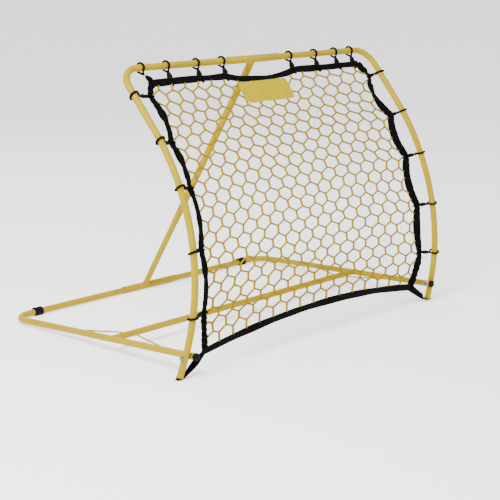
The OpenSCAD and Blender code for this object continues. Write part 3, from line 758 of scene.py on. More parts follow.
@dataclass(frozen=True)
class NetSurface:
    """Surface that the net and its webbing lie on, set back from the bowed tubes."""

    bow: BowLine
    back: float = 0.030
    half: float = 0.606
    reaches: tuple[tuple[float, ...], tuple[float, ...]] = (
        (0.619, 0.615, 0.600, 0.601, 0.592), (0.627, 0.616, 0.6105, 0.622, 0.624))
    top_gap: float = 0.062
    hem_dip: float = 0.022
    hem_bottom: float = 0.134
    hem_rise: float = 0.055
    dip_middle: float = -0.022
    dip_reach: tuple[float, float] = (0.165, 0.212)
    shares: tuple[tuple[float, ...], tuple[float, ...]] = (
        (0.101, 0.336, 0.567, 0.751, 0.948), (0.101, 0.316, 0.536, 0.734, 0.939))
    draws: tuple[tuple[float, ...], tuple[float, ...]] = (
        (0.011, 0.0115, 0.0095, 0.0215), (0.0175, 0.033, 0.032, 0.035))
    corners: tuple[float, float] = (0.031, 0.037)
    toes: tuple[float, float] = (0.016, 0.045)

    @property
    def hem_top(self) -> float:
        """Height of the top webbing up the side tubes."""
        return self.bow.length - self.top_gap

    def normal(self, s: Array) -> Array:
        """Gives the direction to the rear, square to the surface."""
        d = self.bow.direction(s)
        return unit(np.stack([np.zeros_like(d[..., 0]), d[..., 2], -d[..., 1]], axis=-1))

    def up(self, s: Array) -> Array:
        """Gives the direction up the surface."""
        d = self.bow.direction(s)
        return unit(np.stack([np.zeros_like(d[..., 0]), d[..., 1], d[..., 2]], axis=-1))

    def rolled(self, s: Array, roll: Array) -> Array:
        """Gives the direction up the surface, rolled to the rear by an angle."""
        return self.up(s) * np.cos(roll)[:, None] + self.normal(s) * np.sin(roll)[:, None]

    def at(self, x: Array, s: Array, off: Array | float = 0.0) -> Array:
        """Gives points at x across and s up, off to the rear.

        The surface stands behind the tubes by back (1 - (2s/length - 1)^4).

        Args:
            x: Distances across from the middle.
            s: Distances up the side tubes.
            off: How far behind the surface.

        Returns:
            Points of the surface, moved off it.
        """
        x, s = np.broadcast_arrays(np.asarray(x, float), np.asarray(s, float))
        p = self.bow.at(s)
        p = np.stack([x, p[..., 1], p[..., 2]], axis=-1)
        depth = self.back * (1.0 - (2.0 * s / self.bow.length - 1.0) ** 4)
        return p + self.normal(s) * (depth + off)[..., None]

    def top(self, x: Array) -> Array:
        """Gives the top webbing's height: level, with a dip of d (1 - u^2.4) between two ties.

        Args:
            x: Distances across from the middle.

        Returns:
            Heights up the side tubes.
        """
        off = x - self.dip_middle
        u = np.clip(np.abs(off) / np.where(off < 0, *self.dip_reach), 0.0, 1.0)
        return self.hem_top - self.hem_dip * (1.0 - u**2.4)

    def bottom(self, x: Array) -> Array:
        """Gives the bottom webbing's height: a low arch."""
        u = np.clip(np.abs(x) / self.half, 0.0, 1.0)
        return self.hem_bottom - self.hem_rise * u**2

    def ties(self, side: Side) -> Array:
        """Gives the places of the ties up one side."""
        share = np.array(self.shares[side is Side.RIGHT])
        return self.hem_bottom + (self.hem_top - self.hem_bottom) * share

    def between(self, s: Array, side: Side) -> tuple[Array, Array]:
        """Gives 4u(1-u), with u the way from one tie to the next, and which bay it is.

        Args:
            s: Distances up the side tube.
            side: Which side.

        Returns:
            How open each place is between its ties, and the index of the tie below it.
        """
        t = self.ties(side)
        k = np.clip(np.searchsorted(t, s) - 1, 0, len(t) - 2)
        u = np.clip((s - t[k]) / (t[k + 1] - t[k]), 0.0, 1.0)
        return 4.0 * u * (1.0 - u), k

    def edge(self, s: Array, side: Side) -> Array:
        """Gives the side webbing's distance from the middle: out at ties, in between them.

        It also draws in evenly above the last tie, and as the power 1.5 below the first.

        Args:
            s: Distances up the side tube.
            side: Which side.

        Returns:
            Distances from the middle, as positive numbers.
        """
        right = side is Side.RIGHT
        opened, bay = self.between(s, side)
        places = self.ties(side)
        foot = float(self.bottom(np.array(self.half)))
        above = np.clip((s - places[-1]) / (self.hem_top - places[-1]), 0.0, 1.0)
        below = np.clip((places[0] - s) / (places[0] - foot), 0.0, 1.0)
        out = np.interp(s, places, self.reaches[right]) - np.array(self.draws[right])[bay] * opened
        return out - self.corners[right] * above - self.toes[right] * below**1.5

    def ends(self, past: float) -> tuple[float, float]:
        """Gives how far left and right the top webbing reaches, past the sides' middles."""
        left, right = (float(self.edge(np.array(self.hem_top), side)) + past for side in Side)
        return left, right


# ---------------------------------------------------------------- net and webbing


@dataclass(frozen=True)
class Net:
    """Knotless net with pointed cells that widen from left to right."""

    surface: NetSurface
    webbing: "Webbing"
    cols: int = 16
    rows: int = 22
    last_row: float = 0.6
    first_cell: float = 0.066
    last_cell: float = 0.085
    zigzag: float = 0.2
    rise_r: float = 0.0040
    cross_r: float = 0.0034
    flare: float = 0.09
    bow_back: float = 0.0006
    wander: float = 0.0013
    stations: tuple[float, ...] = (0.0, 0.08, 0.2, 0.8, 0.92, 1.0)
    sides: int = 8
    seed: int = 7

    def junctions(self) -> tuple[Array, Array, Array]:
        """Places the junctions of the cells.

        Half column i of row k stands at height k ± zigzag, up where i + k is even. The cells'
        width grows evenly from left to right, so x is a quadratic of i. The outermost ones are
        sewn into the webbing's inner edges.

        Returns:
            Points (rows + 1, half columns, 3), the normals there, and whether each is clear of
            the webbing.
        """
        surf, web = self.surface, self.webbing
        rng = np.random.default_rng(self.seed)
        n = 2 * self.cols + 1
        k, i = np.meshgrid(np.arange(self.rows + 1.0), np.arange(float(n)), indexing="ij")
        a = i / (n - 1)
        ratio = self.last_cell / self.first_cell
        share = (a + (ratio - 1.0) * a * a / 2.0) / (1.0 + (ratio - 1.0) / 2.0)
        x0 = (2.0 * share - 1.0) * surf.half
        up = np.where((i + k) % 2 == 0, self.zigzag, -self.zigzag)
        b = np.clip((k + up) / (self.rows - 1.0 + self.last_row), 0.0, 1.0)
        low, high = surf.bottom(x0) + web.seam * web.width, surf.top(x0) - web.seam * web.width
        s = low + (high - low) * b
        edge = np.where(x0 < 0, surf.edge(s, Side.LEFT), surf.edge(s, Side.RIGHT))
        x = (2.0 * share - 1.0) * (edge - 0.5 * web.seam * web.width)
        inner = (k > 0) & (k < self.rows) & (i > 0) & (i < n - 1)
        jitter = rng.normal(size=(3, *x.shape)) * self.wander * inner
        p = surf.at(x + jitter[0], s + jitter[1], jitter[2])
        p[0] = web.sewn(*web.bottom_line(x[0]), 1.0)
        p[-1] = web.sewn(*web.top_line(x[-1]), -1.0)
        for side, column in ((Side.LEFT, 0), (Side.RIGHT, -1)):
            p[:, column] = web.sewn(*web.side_line(s[:, column], side), -1.0)
        return p, surf.normal(s), inner

    def strands(self) -> tuple[Array, Array, Array, Array]:
        """Lists the strands between the webbing's inner edges.

        Strands that would run along inside the webbing are left out.

        Returns:
            The ends of every strand, the normal at its start, its own radius, and 1 at either
            end that thickens into a junction.
        """
        p, normal, inner = self.junctions()
        k, i = np.meshgrid(np.arange(p.shape[0]), np.arange(p.shape[1]), indexing="ij")
        flat = ((k > 0) & (k < self.rows))[:, :-1]
        rise = ((i + k) % 2 == 0) & (k < self.rows) & (i > 0) & (i < 2 * self.cols)
        above, inner_above = np.roll(p, -1, axis=0), np.roll(inner, -1, axis=0)
        ends = np.concatenate([np.stack([p[:, :-1][flat], p[:, 1:][flat]], axis=1),
                               np.stack([p[rise], above[rise]], axis=1)])
        knots = np.concatenate([np.stack([inner[:, :-1][flat], inner[:, 1:][flat]], axis=1),
                                np.stack([inner[rise], inner_above[rise]], axis=1)])
        own = np.repeat([self.cross_r, self.rise_r], [int(flat.sum()), int(rise.sum())])
        return ends, np.concatenate([normal[:, :-1][flat], normal[rise]]), own, knots.astype(float)

    def build(self) -> Piece:
        """Makes the net as round strands that thicken into their junctions.

        The legs between the rows are thicker than the strands across them. A strand's radius
        grows to a leg's as exp(-(d/flare)²), with d the share to the nearer end, and the strand
        bows back a little at its middle.

        Returns:
            The finished net.
        """
        ends, normal, own, knots = self.strands()
        t = np.array(self.stations)
        path = ends[:, 0:1] + (ends[:, 1:2] - ends[:, 0:1]) * t[None, :, None]
        path = path + normal[:, None] * self.bow_back * np.sin(math.pi * t)[None, :, None]
        near, far = (np.exp(-((d / self.flare) ** 2)) for d in (t, 1.0 - t))
        blend = knots[:, 0:1] * near + knots[:, 1:2] * far
        radius = own[:, None] * (1.0 - blend) + self.rise_r * blend
        grid = sweep(path, normal[:, None], circle(1.0, self.sides), radius)
        return MeshMaker("net_mesh").add(grid).build(Body.NET, Slot.NET, ["net"])


@dataclass(frozen=True)
class Roll:
    """How far a side webbing is rolled about its own length, by height up the side."""

    heights: tuple[float, ...]
    degrees: tuple[float, ...]

    def at(self, s: Array) -> Array:
        """Gives the roll in radians, eased between the listed heights.

        Args:
            s: Heights up the side.

        Returns:
            Angles in radians.
        """
        h, d = np.array(self.heights), np.radians(self.degrees)
        k = np.clip(np.searchsorted(h, s) - 1, 0, len(h) - 2)
        return d[k] + (d[k + 1] - d[k]) * smooth((s - h[k]) / (h[k + 1] - h[k]))


LEFT_ROLL = Roll(
    (0.07, 0.13, 0.17, 0.21, 0.25, 0.32, 0.355, 0.39, 0.44, 0.47, 0.50, 0.53, 0.57, 0.60,
     0.65, 0.68, 0.71, 0.735, 0.77, 0.81, 0.85, 0.87, 0.90, 0.95, 0.99, 1.01, 1.05, 1.12),
    (-5, -8, 4, -5, 13, 14, 22, 4, 12, -2, 9, 22, 11, 21,
     18, 0, 20, 6, 20, -11, 7, -8, 14, 18, -22, 0, 3, 8))
RIGHT_ROLL = Roll(
    (0.07, 0.13, 0.19, 0.215, 0.25, 0.29, 0.35, 0.41, 0.43, 0.45, 0.49,
     0.51, 0.54, 0.59, 0.63, 0.655, 0.69, 0.71, 0.735, 0.77, 0.79,
     0.81, 0.87, 0.91, 0.93, 0.97, 1.01, 1.03, 1.06, 1.09, 1.12),
    (44, 43, 48, 17, 13, 27, 50, 44, 20, 48, 50,
     28, 48, 24, 46, 29, 46, 30, 48, 50, 36,
     48, 50, 42, 10, -10, 9, -16, 0, 40, 38))


@dataclass(frozen=True)
class Webbing:
    """Black webbing round the net, and the straps down to the feet."""

    surface: NetSurface
    foot: Point = (0.718774, -0.483465, 0.0045)
    width: float = 0.031
    thick: float = 0.0032
    rim: float = 0.3
    sides: int = 28
    seam: float = 0.4
    rolls: tuple[Roll, Roll] = (LEFT_ROLL, RIGHT_ROLL)
    top_wave: tuple[Wave, ...] = ((0.0012, 21.0, 0.0), (0.0008, 47.0, 1.0))
    top_roll: tuple[Wave, ...] = ((0.14, 17.0, 0.0), (0.08, 39.0, 0.0))
    bottom_roll: tuple[Wave, ...] = ((0.12, 13.0, 0.0), (0.08, 31.0, 0.0))
    gather: Wave = (0.0014, 260.0, 0.0)
    side_wave: Wave = (0.03, 75.0, 0.0)
    pull_middle: float = 0.01
    pull_reach: float = 0.145
    pull_roll: float = 0.12
    pull_narrow: float = 0.14
    gathered: float = 0.87
    pinch: float = 0.1
    pinch_reach: float = 0.012
    past_corner: float = 0.004
    top_rings: int = 260
    side_rings: int = 340
    arc_rings: int = 150
    strap_rings: int = 25
    strap_end: float = 0.017
    strap_share: float = 0.58

    def _strap(self, line: Line, name: str, node: str) -> Piece:
        """Makes one webbing.

        Args:
            line: Its middle, its direction across and its share of full width.
            name: Name of the piece.
            node: CAD node that it stands for.

        Returns:
            The finished webbing.
        """
        section = strap_section(self.width, self.thick, self.rim, self.sides)
        grid = sweep(line[0], line[1], section, line[2])
        return MeshMaker(name).add(grid).build(Body.NET, Slot.WEBBING, [node])

    def top_line(self, x: Array) -> Line:
        """Gives the top webbing's middle, its direction across and its share of full width.

        It is pulled narrow and rolled over its dip.

        Args:
            x: Distances across from the middle.

        Returns:
            Points, unit vectors and shares.
        """
        s = self.surface.top(x)
        pulled = np.exp(-(((x - self.pull_middle) / self.pull_reach) ** 4))
        middle = self.surface.at(x, s, waves(x, *self.top_wave))
        roll = waves(x, *self.top_roll) + self.pull_roll * pulled
        return middle, self.surface.rolled(s, roll), 1.0 - self.pull_narrow * pulled

    def side_line(self, s: Array, side: Side) -> Line:
        """Gives a side webbing's middle, its direction outwards and its share of full width.

        Args:
            s: Distances up the side tube.
            side: Which side.

        Returns:
            Points, unit vectors and shares.
        """
        surf = self.surface
        opened, _ = surf.between(s, side)
        roll = self.rolls[side is Side.RIGHT].at(s)
        out, back = vec(side.value, 0, 0), surf.normal(s)
        across = out * np.cos(roll)[:, None] - back * np.sin(roll)[:, None]
        wide = self.gathered + (1.0 - self.gathered) * opened**0.7 + waves(s, self.side_wave)
        gather = waves(s, self.gather) * (1.0 - opened)
        return surf.at(side.value * surf.edge(s, side), s, gather), across, wide

    def bottom_line(self, x: Array) -> Line:
        """Gives the bottom webbing's middle, its direction across and its share of full width.

        Args:
            x: Distances across from the middle.

        Returns:
            Points, unit vectors and shares.
        """
        s = self.surface.bottom(x)
        roll = waves(x, *self.bottom_roll)
        return self.surface.at(x, s), self.surface.rolled(s, roll), np.ones_like(x)

    def sewn(self, path: Array, across: Array, wide: Array, way: float) -> Array:
        """Gives the line that the net is sewn along: the middle, and the seam's share across."""
        return path + across * (way * self.seam * self.width * wide)[:, None]

    def pinched(self, wide: Array, line: Array, places: Array) -> Array:
        """Narrows a webbing at its ties, where the gap is small, as exp(-(gap/reach)²)."""
        gap = np.abs(line[:, None] - places[None, :]).min(axis=1)
        return wide * (1.0 - self.pinch * np.exp(-((gap / self.pinch_reach) ** 2)))

    def top(self, places: Array) -> Piece:
        """Makes the top webbing.

        Args:
            places: Where its ties hold it, across.

        Returns:
            The finished webbing.
        """
        left, right = self.surface.ends(self.past_corner)
        x = np.linspace(-left, right, self.top_rings)
        path, across, wide = self.top_line(x)
        return self._strap((path, across, self.pinched(wide, x, places)), "top_webbing", "top_hem")

    def side(self, side: Side) -> Piece:
        """Makes a side webbing, which rolls and gathers along its length.

        Args:
            side: Which side.

        Returns:
            The finished webbing.
        """
        surf = self.surface
        s = np.linspace(float(surf.bottom(np.array(surf.half))), surf.hem_top, self.side_rings)
        path, across, wide = self.side_line(s, side)
        line = path, across, self.pinched(wide, s, surf.ties(side))
        name = side.name.lower()
        return self._strap(line, f"{name}_webbing", f"{name}_hem")

    def bottom(self) -> Piece:
        """Makes the bottom webbing, which runs on as a strap down to each foot.

        Returns:
            The finished webbing.
        """
        surf = self.surface
        left, right = (surf.edge(surf.bottom(np.array(surf.half)), side) for side in Side)
        arc, arc_across, full = self.bottom_line(np.linspace(-left, right, self.arc_rings))
        t = smooth(np.linspace(0.0, 1.0, self.strap_rings + 1)[1:])[:, None]
        late = smooth(np.clip((t - 0.7) / 0.3, 0.0, 1.0))
        under = np.array(self.foot) - vec(surf.bow.tube_r, 0.0, 0.0)
        tip, rearward = np.array(self.foot) + vec(self.strap_end, 0.0, 0.0), vec(0, 1, 0)
        ends = []
        for k, side, flat in ((0, Side.LEFT, t), (-1, Side.RIGHT, late)):
            down = np.concatenate([arc[k] + (under * side.flip - arc[k]) * t, [tip * side.flip]])
            across = np.concatenate([arc_across[k] * (1 - flat) + rearward * flat, [rearward]])
            ends.append((down, across))
        size = np.concatenate([1.0 - (1.0 - self.strap_share) * t[:, 0], [self.strap_share]])
        line = (np.concatenate([ends[0][0][::-1], arc, ends[1][0]]),
                np.concatenate([ends[0][1][::-1], arc_across, ends[1][1]]),
                np.concatenate([size[::-1], full, size]))
        return self._strap(line, "bottom_webbing", "bottom_hem")


@dataclass(frozen=True)
class Patch:
    """Bare cloth patch that hangs from the top webbing's lower edge, with rounded corners."""

    surface: NetSurface
    centre: float = -0.019
    width: float = 0.270
    height: float = 0.091
    corners: tuple[float, float] = (0.034, 0.018)
    top_corners: tuple[float, float] = (0.004, 0.014)
    drop: float = 0.0125
    thick: float = 0.0012
    off: float = -0.0060
    ripples: tuple[Wave, Wave] = ((0.0016, 46.0, 0.6), (0.001, 90.0, 0.0))
    skew: float = 2.0 / 3.0
    puff: Wave = (0.0005, 300.0, math.pi / 2.0)

    def build(self) -> Piece:
        """Makes the patch as a gently rippled sheet.

        Column u is cut off at either end by its corner's quarter circle, r - sqrt(r² - d²),
        and the sheet stands off by a low ripple that grows downwards.

        Returns:
            The finished patch.
        """
        u = np.linspace(-1.0, 1.0, 110)
        v = np.linspace(0.0, 1.0, 36)
        half = self.width / 2.0
        cuts = []
        for pair in (self.corners, self.top_corners):
            corner = np.where(u < 0, *pair)
            over = np.maximum(np.abs(u) * half - (half - corner), 0.0)
            cuts.append((corner - np.sqrt(np.maximum(corner**2 - over**2, 0.0)))[:, None])
        low = cuts[0] + (self.height - cuts[1] - cuts[0]) * v[None, :]
        x = self.centre + np.broadcast_to(u[:, None] * half, low.shape)
        top = self.surface.top(np.array([0.0]))[0] - self.drop
        s = top - self.height + low
        ripple = waves(x, self.ripples[0]) + waves(x + s * self.skew, self.ripples[1])
        ripple = ripple * (1.0 - v[None, :]) ** 0.7 + waves(s, self.puff)
        front = self.surface.at(x, s, self.off + ripple)
        back = front + self.surface.normal(s) * self.thick
        ring = np.concatenate([front, back[:, ::-1]], axis=1)
        maker = MeshMaker("bare_patch").add(ring)
        obj = maker.build(Body.NET, Slot.PATCH, ["label_patch"])
        return obj


# ---------------------------------------------------------------- ties

TOP_TIE_SHARES = (-0.962, -0.764, -0.52, -0.302, 0.3135, 0.561, 0.767, 0.932)


@dataclass(frozen=True)
class Anchors:
    """Where every tie starts on its tube and where it holds the webbing."""

    tube: Array
    way: Array
    hem: Array
    across: Array
    half: Array
    side: Array
    held: ClassVar[float] = 0.45
    corner: ClassVar[float] = 0.006

    @classmethod
    def collect(cls, webbing: Webbing, top_bar: Array, top_places: Array) -> "Anchors":
        """Lists the ties of the top bar and then those of both sides.

        Args:
            webbing: The webbing that they hold.
            top_bar: A point on the top bar's axis.
            top_places: Places of the top ties along the bar.

        Returns:
            Rows of points on the tube, tube directions, points on the webbing, directions
            across the webbing towards the tube, half widths, and whether it is a side tie.
        """
        surf = webbing.surface
        left, right = surf.ends(-cls.corner)
        hem, across, wide = webbing.top_line(np.clip(top_places, -left, right))
        q = np.stack([top_places, *(np.full_like(top_places, c) for c in top_bar[1:])], axis=-1)
        rows = [(q, np.broadcast_to(vec(1, 0, 0), q.shape), hem, across, wide, np.zeros(len(q)))]
        for side in Side:
            s = surf.ties(side)
            rows.append((surf.bow.at(s, side), surf.bow.direction(s, side),
                         *webbing.side_line(s, side), np.ones(len(s))))
        tube, way, hem, across, wide, at_side = (np.concatenate(part) for part in zip(*rows))
        return cls(tube, way, hem, across, wide * webbing.width * cls.held, at_side)


@dataclass(frozen=True)
class Ties:
    """Elastic ties: a loop round the tube, a knot, a clip painted pale grey as a highlight, a
    pear-shaped eye and a wrap.
    """

    anchors: Anchors
    tube_r: float
    cord_r: float = 0.0039
    gap: float = 0.0003
    slant: float = math.radians(14.0)
    neck: float = 0.005
    knot_len: float = 0.007
    knot_r: float = 0.0064
    clip_len: float = 0.005
    clip_r: float = 0.0048
    clip_rim: float = 0.0009
    tuck: float = 0.001
    side_eye: float = 0.011
    eye_len: float = 0.022
    eye_r: float = 0.0050
    eye_cord: float = 0.0056
    slim: float = 0.55
    lap: float = 0.003
    lay: float = 0.022
    wrap_cord: float = 0.0036
    wrap_off: tuple[float, float] = (0.0034, 0.0046)
    wrap_skew: float = 0.002

    @property
    def at_side(self) -> Array:
        """Whether each tie is a side tie."""
        return self.anchors.side > 0

    @property
    def loop_r(self) -> float:
        """Radius of a loop, which goes round the tube at a slant."""
        return (self.tube_r + self.cord_r + self.gap) / math.cos(self.slant)

    @property
    def pull(self) -> Array:
        """Directions from the tube to the webbing, square to the tube."""
        return square(self.anchors.hem - self.anchors.tube, self.anchors.way)

    @property
    def start(self) -> Array:
        """Points where the loops close."""
        return self.anchors.tube + self.pull * (self.loop_r + self.neck)

    @property
    def reach(self) -> Array:
        """Ways from there to just past the webbing's edge."""
        a = self.anchors
        return a.hem + a.across * (a.half + self.tuck)[:, None] - self.start

    @property
    def aim(self) -> Array:
        """Directions of those ways."""
        return unit(self.reach)

    @property
    def span(self) -> Array:
        """Lengths of those ways."""
        return np.linalg.norm(self.reach, axis=-1)

    @property
    def flat(self) -> Array:
        """Directions across the eyes, square to the ways."""
        facing = np.where(self.at_side[:, None], self.anchors.way, vec(1, -1, 0))
        return square(facing, self.aim)

    def build(self) -> list[Piece]:
        """Makes the loops, knots, clips, eyes and wraps of all ties.

        Returns:
            The cords, the clips and the eyes.
        """
        eye = np.where(self.at_side, self.side_eye, self.span + self.lap - self.eye_len)
        clip = np.minimum(self.knot_len, eye) - self.tuck
        clips = turned(rounded_profile(self.clip_len, self.clip_r, self.clip_rim),
                       self.start + self.aim * clip[:, None], self.aim, 18)
        eyes = self._eyes(self.start + self.aim * eye[:, None])
        cords = MeshMaker("tie_cords").add(self._loops(), closed_rings=True)
        cords.add(self._knots(), caps=False)
        for strand in self._twist():
            cords.add(strand)
        cords.add(self._wraps(), closed_rings=True)
        # The clips take the pale grey of a painted highlight, the glint where each knot meets its
        # eye.
        grey = MeshMaker("tie_clips").add(clips, caps=False)
        toggles = MeshMaker("toggles").add(eyes, closed_rings=True)
        nodes = [f"{name}_tie_loops" for name in ("top", "left", "right")]
        return [
            cords.build(Body.NET, Slot.ELASTIC, nodes),
            grey.build(Body.NET, Slot.TOGGLE, paint=PAINTED_HIGHLIGHT_CLIP.make("tie_clip_painted_highlight")),
            toggles.build(Body.NET, Slot.TOGGLE, ["tie_toggles"]),
        ]

    def _loops(self) -> Array:
        """Makes the loops.

        A loop is a circle round the tube's far side and two straight tangents to its neck, and
        all of it is turned by the slant about the line of pull.

        Returns:
            Rings of all loops.
        """
        a, pull, r = self.anchors, self.pull, self.loop_r
        tilt = np.cross(pull, a.way) * math.cos(self.slant) + a.way * math.sin(self.slant)
        open_a = math.acos(r / (r + self.neck))
        turn = np.linspace(open_a, 2.0 * math.pi - open_a, 40)
        ring = np.stack([np.cos(turn), np.sin(turn)], axis=-1) * r
        t = np.linspace(0.0, 1.0, 7)[1:, None]
        pinch = np.array([r + self.neck, -self.cord_r * 0.9])
        leg_out = ring[-1] + (pinch - ring[-1]) * t
        leg_in = (leg_out * np.array([1.0, -1.0]))[::-1]
        flat = np.concatenate([ring, leg_out, leg_in])
        loop = a.tube[:, None] + track(flat[:, 0], flat[:, 1], pull, tilt)
        lift = unit(np.cross(pull, tilt))[:, None]
        return sweep(loop, lift, circle(self.cord_r, 10), closed=True)

    def _knots(self) -> Array:
        """Makes a lumpy knot where each loop closes.

        Its radius at a share t of its length is R sin(pi t)^0.45 (1 + 0.12 sin(4 pi t)).

        Returns:
            Rings of all knots.
        """
        t = np.linspace(0.0, 1.0, 15)
        r = self.knot_r * np.sin(math.pi * t) ** 0.45 * (1.0 + 0.12 * np.sin(t * 4.0 * math.pi))
        profile = np.stack([t * self.knot_len, r], axis=-1)
        return turned(profile, self.start - self.aim * self.tuck, self.aim, 16)

    def _twist(self) -> list[Array]:
        """Makes the two strands from each side tie's eye to the webbing, twisted about each other.

        Strand k stands at w(t) (cos(p + k pi), sin(p + k pi)) about the line, where p goes
        round once in each lay and w falls to nothing at both ends.

        Returns:
            Rings of the first strands and of the second.
        """
        rows = self.at_side
        first = self.side_eye + self.eye_len - self.lap
        aim, flat = self.aim[rows], self.flat[rows]
        start, length = self.start[rows] + aim * first, (self.span[rows] - first)[:, None]
        t = np.linspace(0.0, 1.0, 48)
        along = start[:, None] + aim[:, None] * (length * t)[..., None]
        off = self.cord_r * 0.95 * np.sin(math.pi * t) ** 0.35
        phase = 2.0 * math.pi * length * t / self.lay + 0.6
        deep = np.cross(aim, flat)
        strands = []
        for p in (phase, phase + math.pi):
            path = along + track(off * np.cos(p), off * np.sin(p), flat, deep)
            strands.append(sweep(path, deep[:, None], circle(self.cord_r * 0.9, 10)))
        return strands

    def _eyes(self, start: Array) -> Array:
        """Makes pear-shaped eyes, slimmer on the side ties.

        x = L (1 - cos a) / 2 and y = R sin(a) (0.45 + sin²(a/2)) / 1.05.

        Args:
            start: Where each eye begins.

        Returns:
            Rings of all eyes.
        """
        turn = angles(44) + 0.02
        x = self.eye_len * (1.0 - np.cos(turn)) / 2.0
        y = (self.eye_r * np.sin(turn) * (0.45 + np.sin(turn / 2.0) ** 2)) / 1.05
        y = y * np.where(self.at_side, self.slim, 1.0)[:, None]
        path = start[:, None] + track(x, y, self.aim, self.flat)
        lift = unit(np.cross(self.aim, self.flat))[:, None]
        return sweep(path, lift, circle(self.eye_cord, 12), closed=True)

    def _wraps(self) -> Array:
        """Makes a flat ring round the webbing at each tie, square to the webbing.

        The ring is the circle (cos, sin) with its parts raised to powers that flatten it.

        Returns:
            Rings of all wraps.
        """
        a = self.anchors
        turn = angles(40)
        u, v = bent(np.cos(turn), 0.75), bent(np.sin(turn), 0.5)
        line = square(np.where(self.at_side[:, None], a.way, vec(1, 0, 0)), a.across)
        wide, deep = self.wrap_off
        ring = track(u * (a.half[:, None] + wide), v * deep, a.across, np.cross(a.across, line))
        skew = line[:, None] * (self.wrap_skew * u)[:, None]
        return sweep(a.hem[:, None] + ring + skew, line[:, None], circle(self.wrap_cord, 8),
                     closed=True)


# ---------------------------------------------------------------- welds and trim


@dataclass(frozen=True)
class Weld:
    """One weld bead where a round tube meets the side of a round bar."""

    centre: Array
    bar: Array
    tube: Array
    bar_r: float
    tube_r: float
    bead: float = 0.0016
    ripples: int = 34
    ripple: float = 0.14

    def grid(self) -> Array:
        """Gives the bead's surface.

        A tube of radius r leaves a bar of radius R at an angle t. At angle a round the tube the
        seam is (sqrt(R² - r² sin² a) + r cos a cos t) / sin t along it. The bead's radius
        ripples along the seam.

        Returns:
            Rings along the seam.
        """
        a = angles(self.ripples * 4)
        out, bar, r = unit(self.tube), unit(self.bar), self.tube_r
        lean = float(np.sum(bar * out))
        rise = float(np.linalg.norm(np.cross(bar, out)))
        first = square(bar, out)
        radial = first * np.cos(a)[:, None] + np.cross(out, first) * np.sin(a)[:, None]
        wall = np.sqrt(np.maximum(self.bar_r**2 - (r * np.sin(a)) ** 2, 0.0))
        high = (wall + r * np.cos(a) * lean) / rise
        seam = self.centre + out * high[:, None] + radial * r
        size = 1.0 + self.ripple * np.sin(a * self.ripples)
        return sweep(seam, radial, circle(self.bead, 10), size, closed=True)


@dataclass(frozen=True)
class GroundTrim:
    """Weld beads of the ground frame's crossbar and brace rods, and its two black sleeves."""

    rear_corner: Point = (0.71867, 0.527037, 0.015)
    arm_front: Point = (0.68267, -0.502312, 0.084)
    tube_r: float = 0.0125
    rod_r: float = 0.003
    cross: float = 0.612
    snug: float = 0.99
    rods: tuple[float, float] = (0.346, 0.931)
    rod_bead: float = 0.0011
    rod_ripples: int = 12
    rod_inset: float = 0.104
    band_inset: float = 0.127
    band_half: float = 0.019
    band_r: float = 0.0185
    band_lip: float = 0.0195
    band_rim: float = 0.0012
    fit: float = 0.0001
    floor_gap: float = 0.0002

    def welds(self) -> Piece:
        """Makes the beads on both arms and on the crossbar.

        Returns:
            The finished beads.
        """
        corner, across = np.array(self.rear_corner), vec(1.0, 0.0, 0.0)
        arm = unit(np.array(self.arm_front) - corner)
        joint = corner + arm * self.cross
        meet = joint - across * self.rod_inset
        rod = self.tube_r, self.rod_r, self.rod_bead, self.rod_ripples
        joints = [(joint, arm, -across, (self.tube_r, self.tube_r * self.snug))]
        for reach in self.rods:
            root = corner + arm * reach
            aim = unit(meet - root)
            joints += [(root, arm, aim, rod), (meet, across, -aim, rod)]
        maker = MeshMaker("ground_welds")
        for side in Side:
            for at, bar, tube, shape in joints:
                bead = Weld(at * side.flip, bar * side.flip, tube * side.flip, *shape)
                maker.add(bead.grid(), closed_rings=True)
        return maker.build(Body.GROUND, Slot.ENAMEL)

    def sleeves(self) -> Piece:
        """Makes the two rubber sleeves, each with a lip at its outer end.

        The section (x, r) goes round the tube as (x, r cos a, r sin a), and is flat where it
        rests on the floor.

        Returns:
            The finished sleeves.
        """
        h, inner, outer = self.band_half, self.tube_r + self.fit, self.band_r
        lip, e = self.band_lip, self.band_rim
        x = np.array([-h, -h, -h + e, h - 4 * e, h - 3 * e, h - e, h, h])
        r = np.array([inner, outer - e, outer, outer, lip, lip, lip - e, inner])
        a = angles(72)[:, None]
        y, z = r * np.cos(a), r * np.sin(a)
        grid = np.stack([np.broadcast_to(x, y.shape), y, z], axis=-1) + self.rear_corner
        grid[..., 0] -= self.band_inset
        grid[..., 2] = np.maximum(grid[..., 2], self.floor_gap)
        maker = MeshMaker("rubber_sleeves")
        for side in Side:
            maker.add(grid * side.flip, closed_rings=True)
        return maker.build(Body.GROUND, Slot.RUBBER)


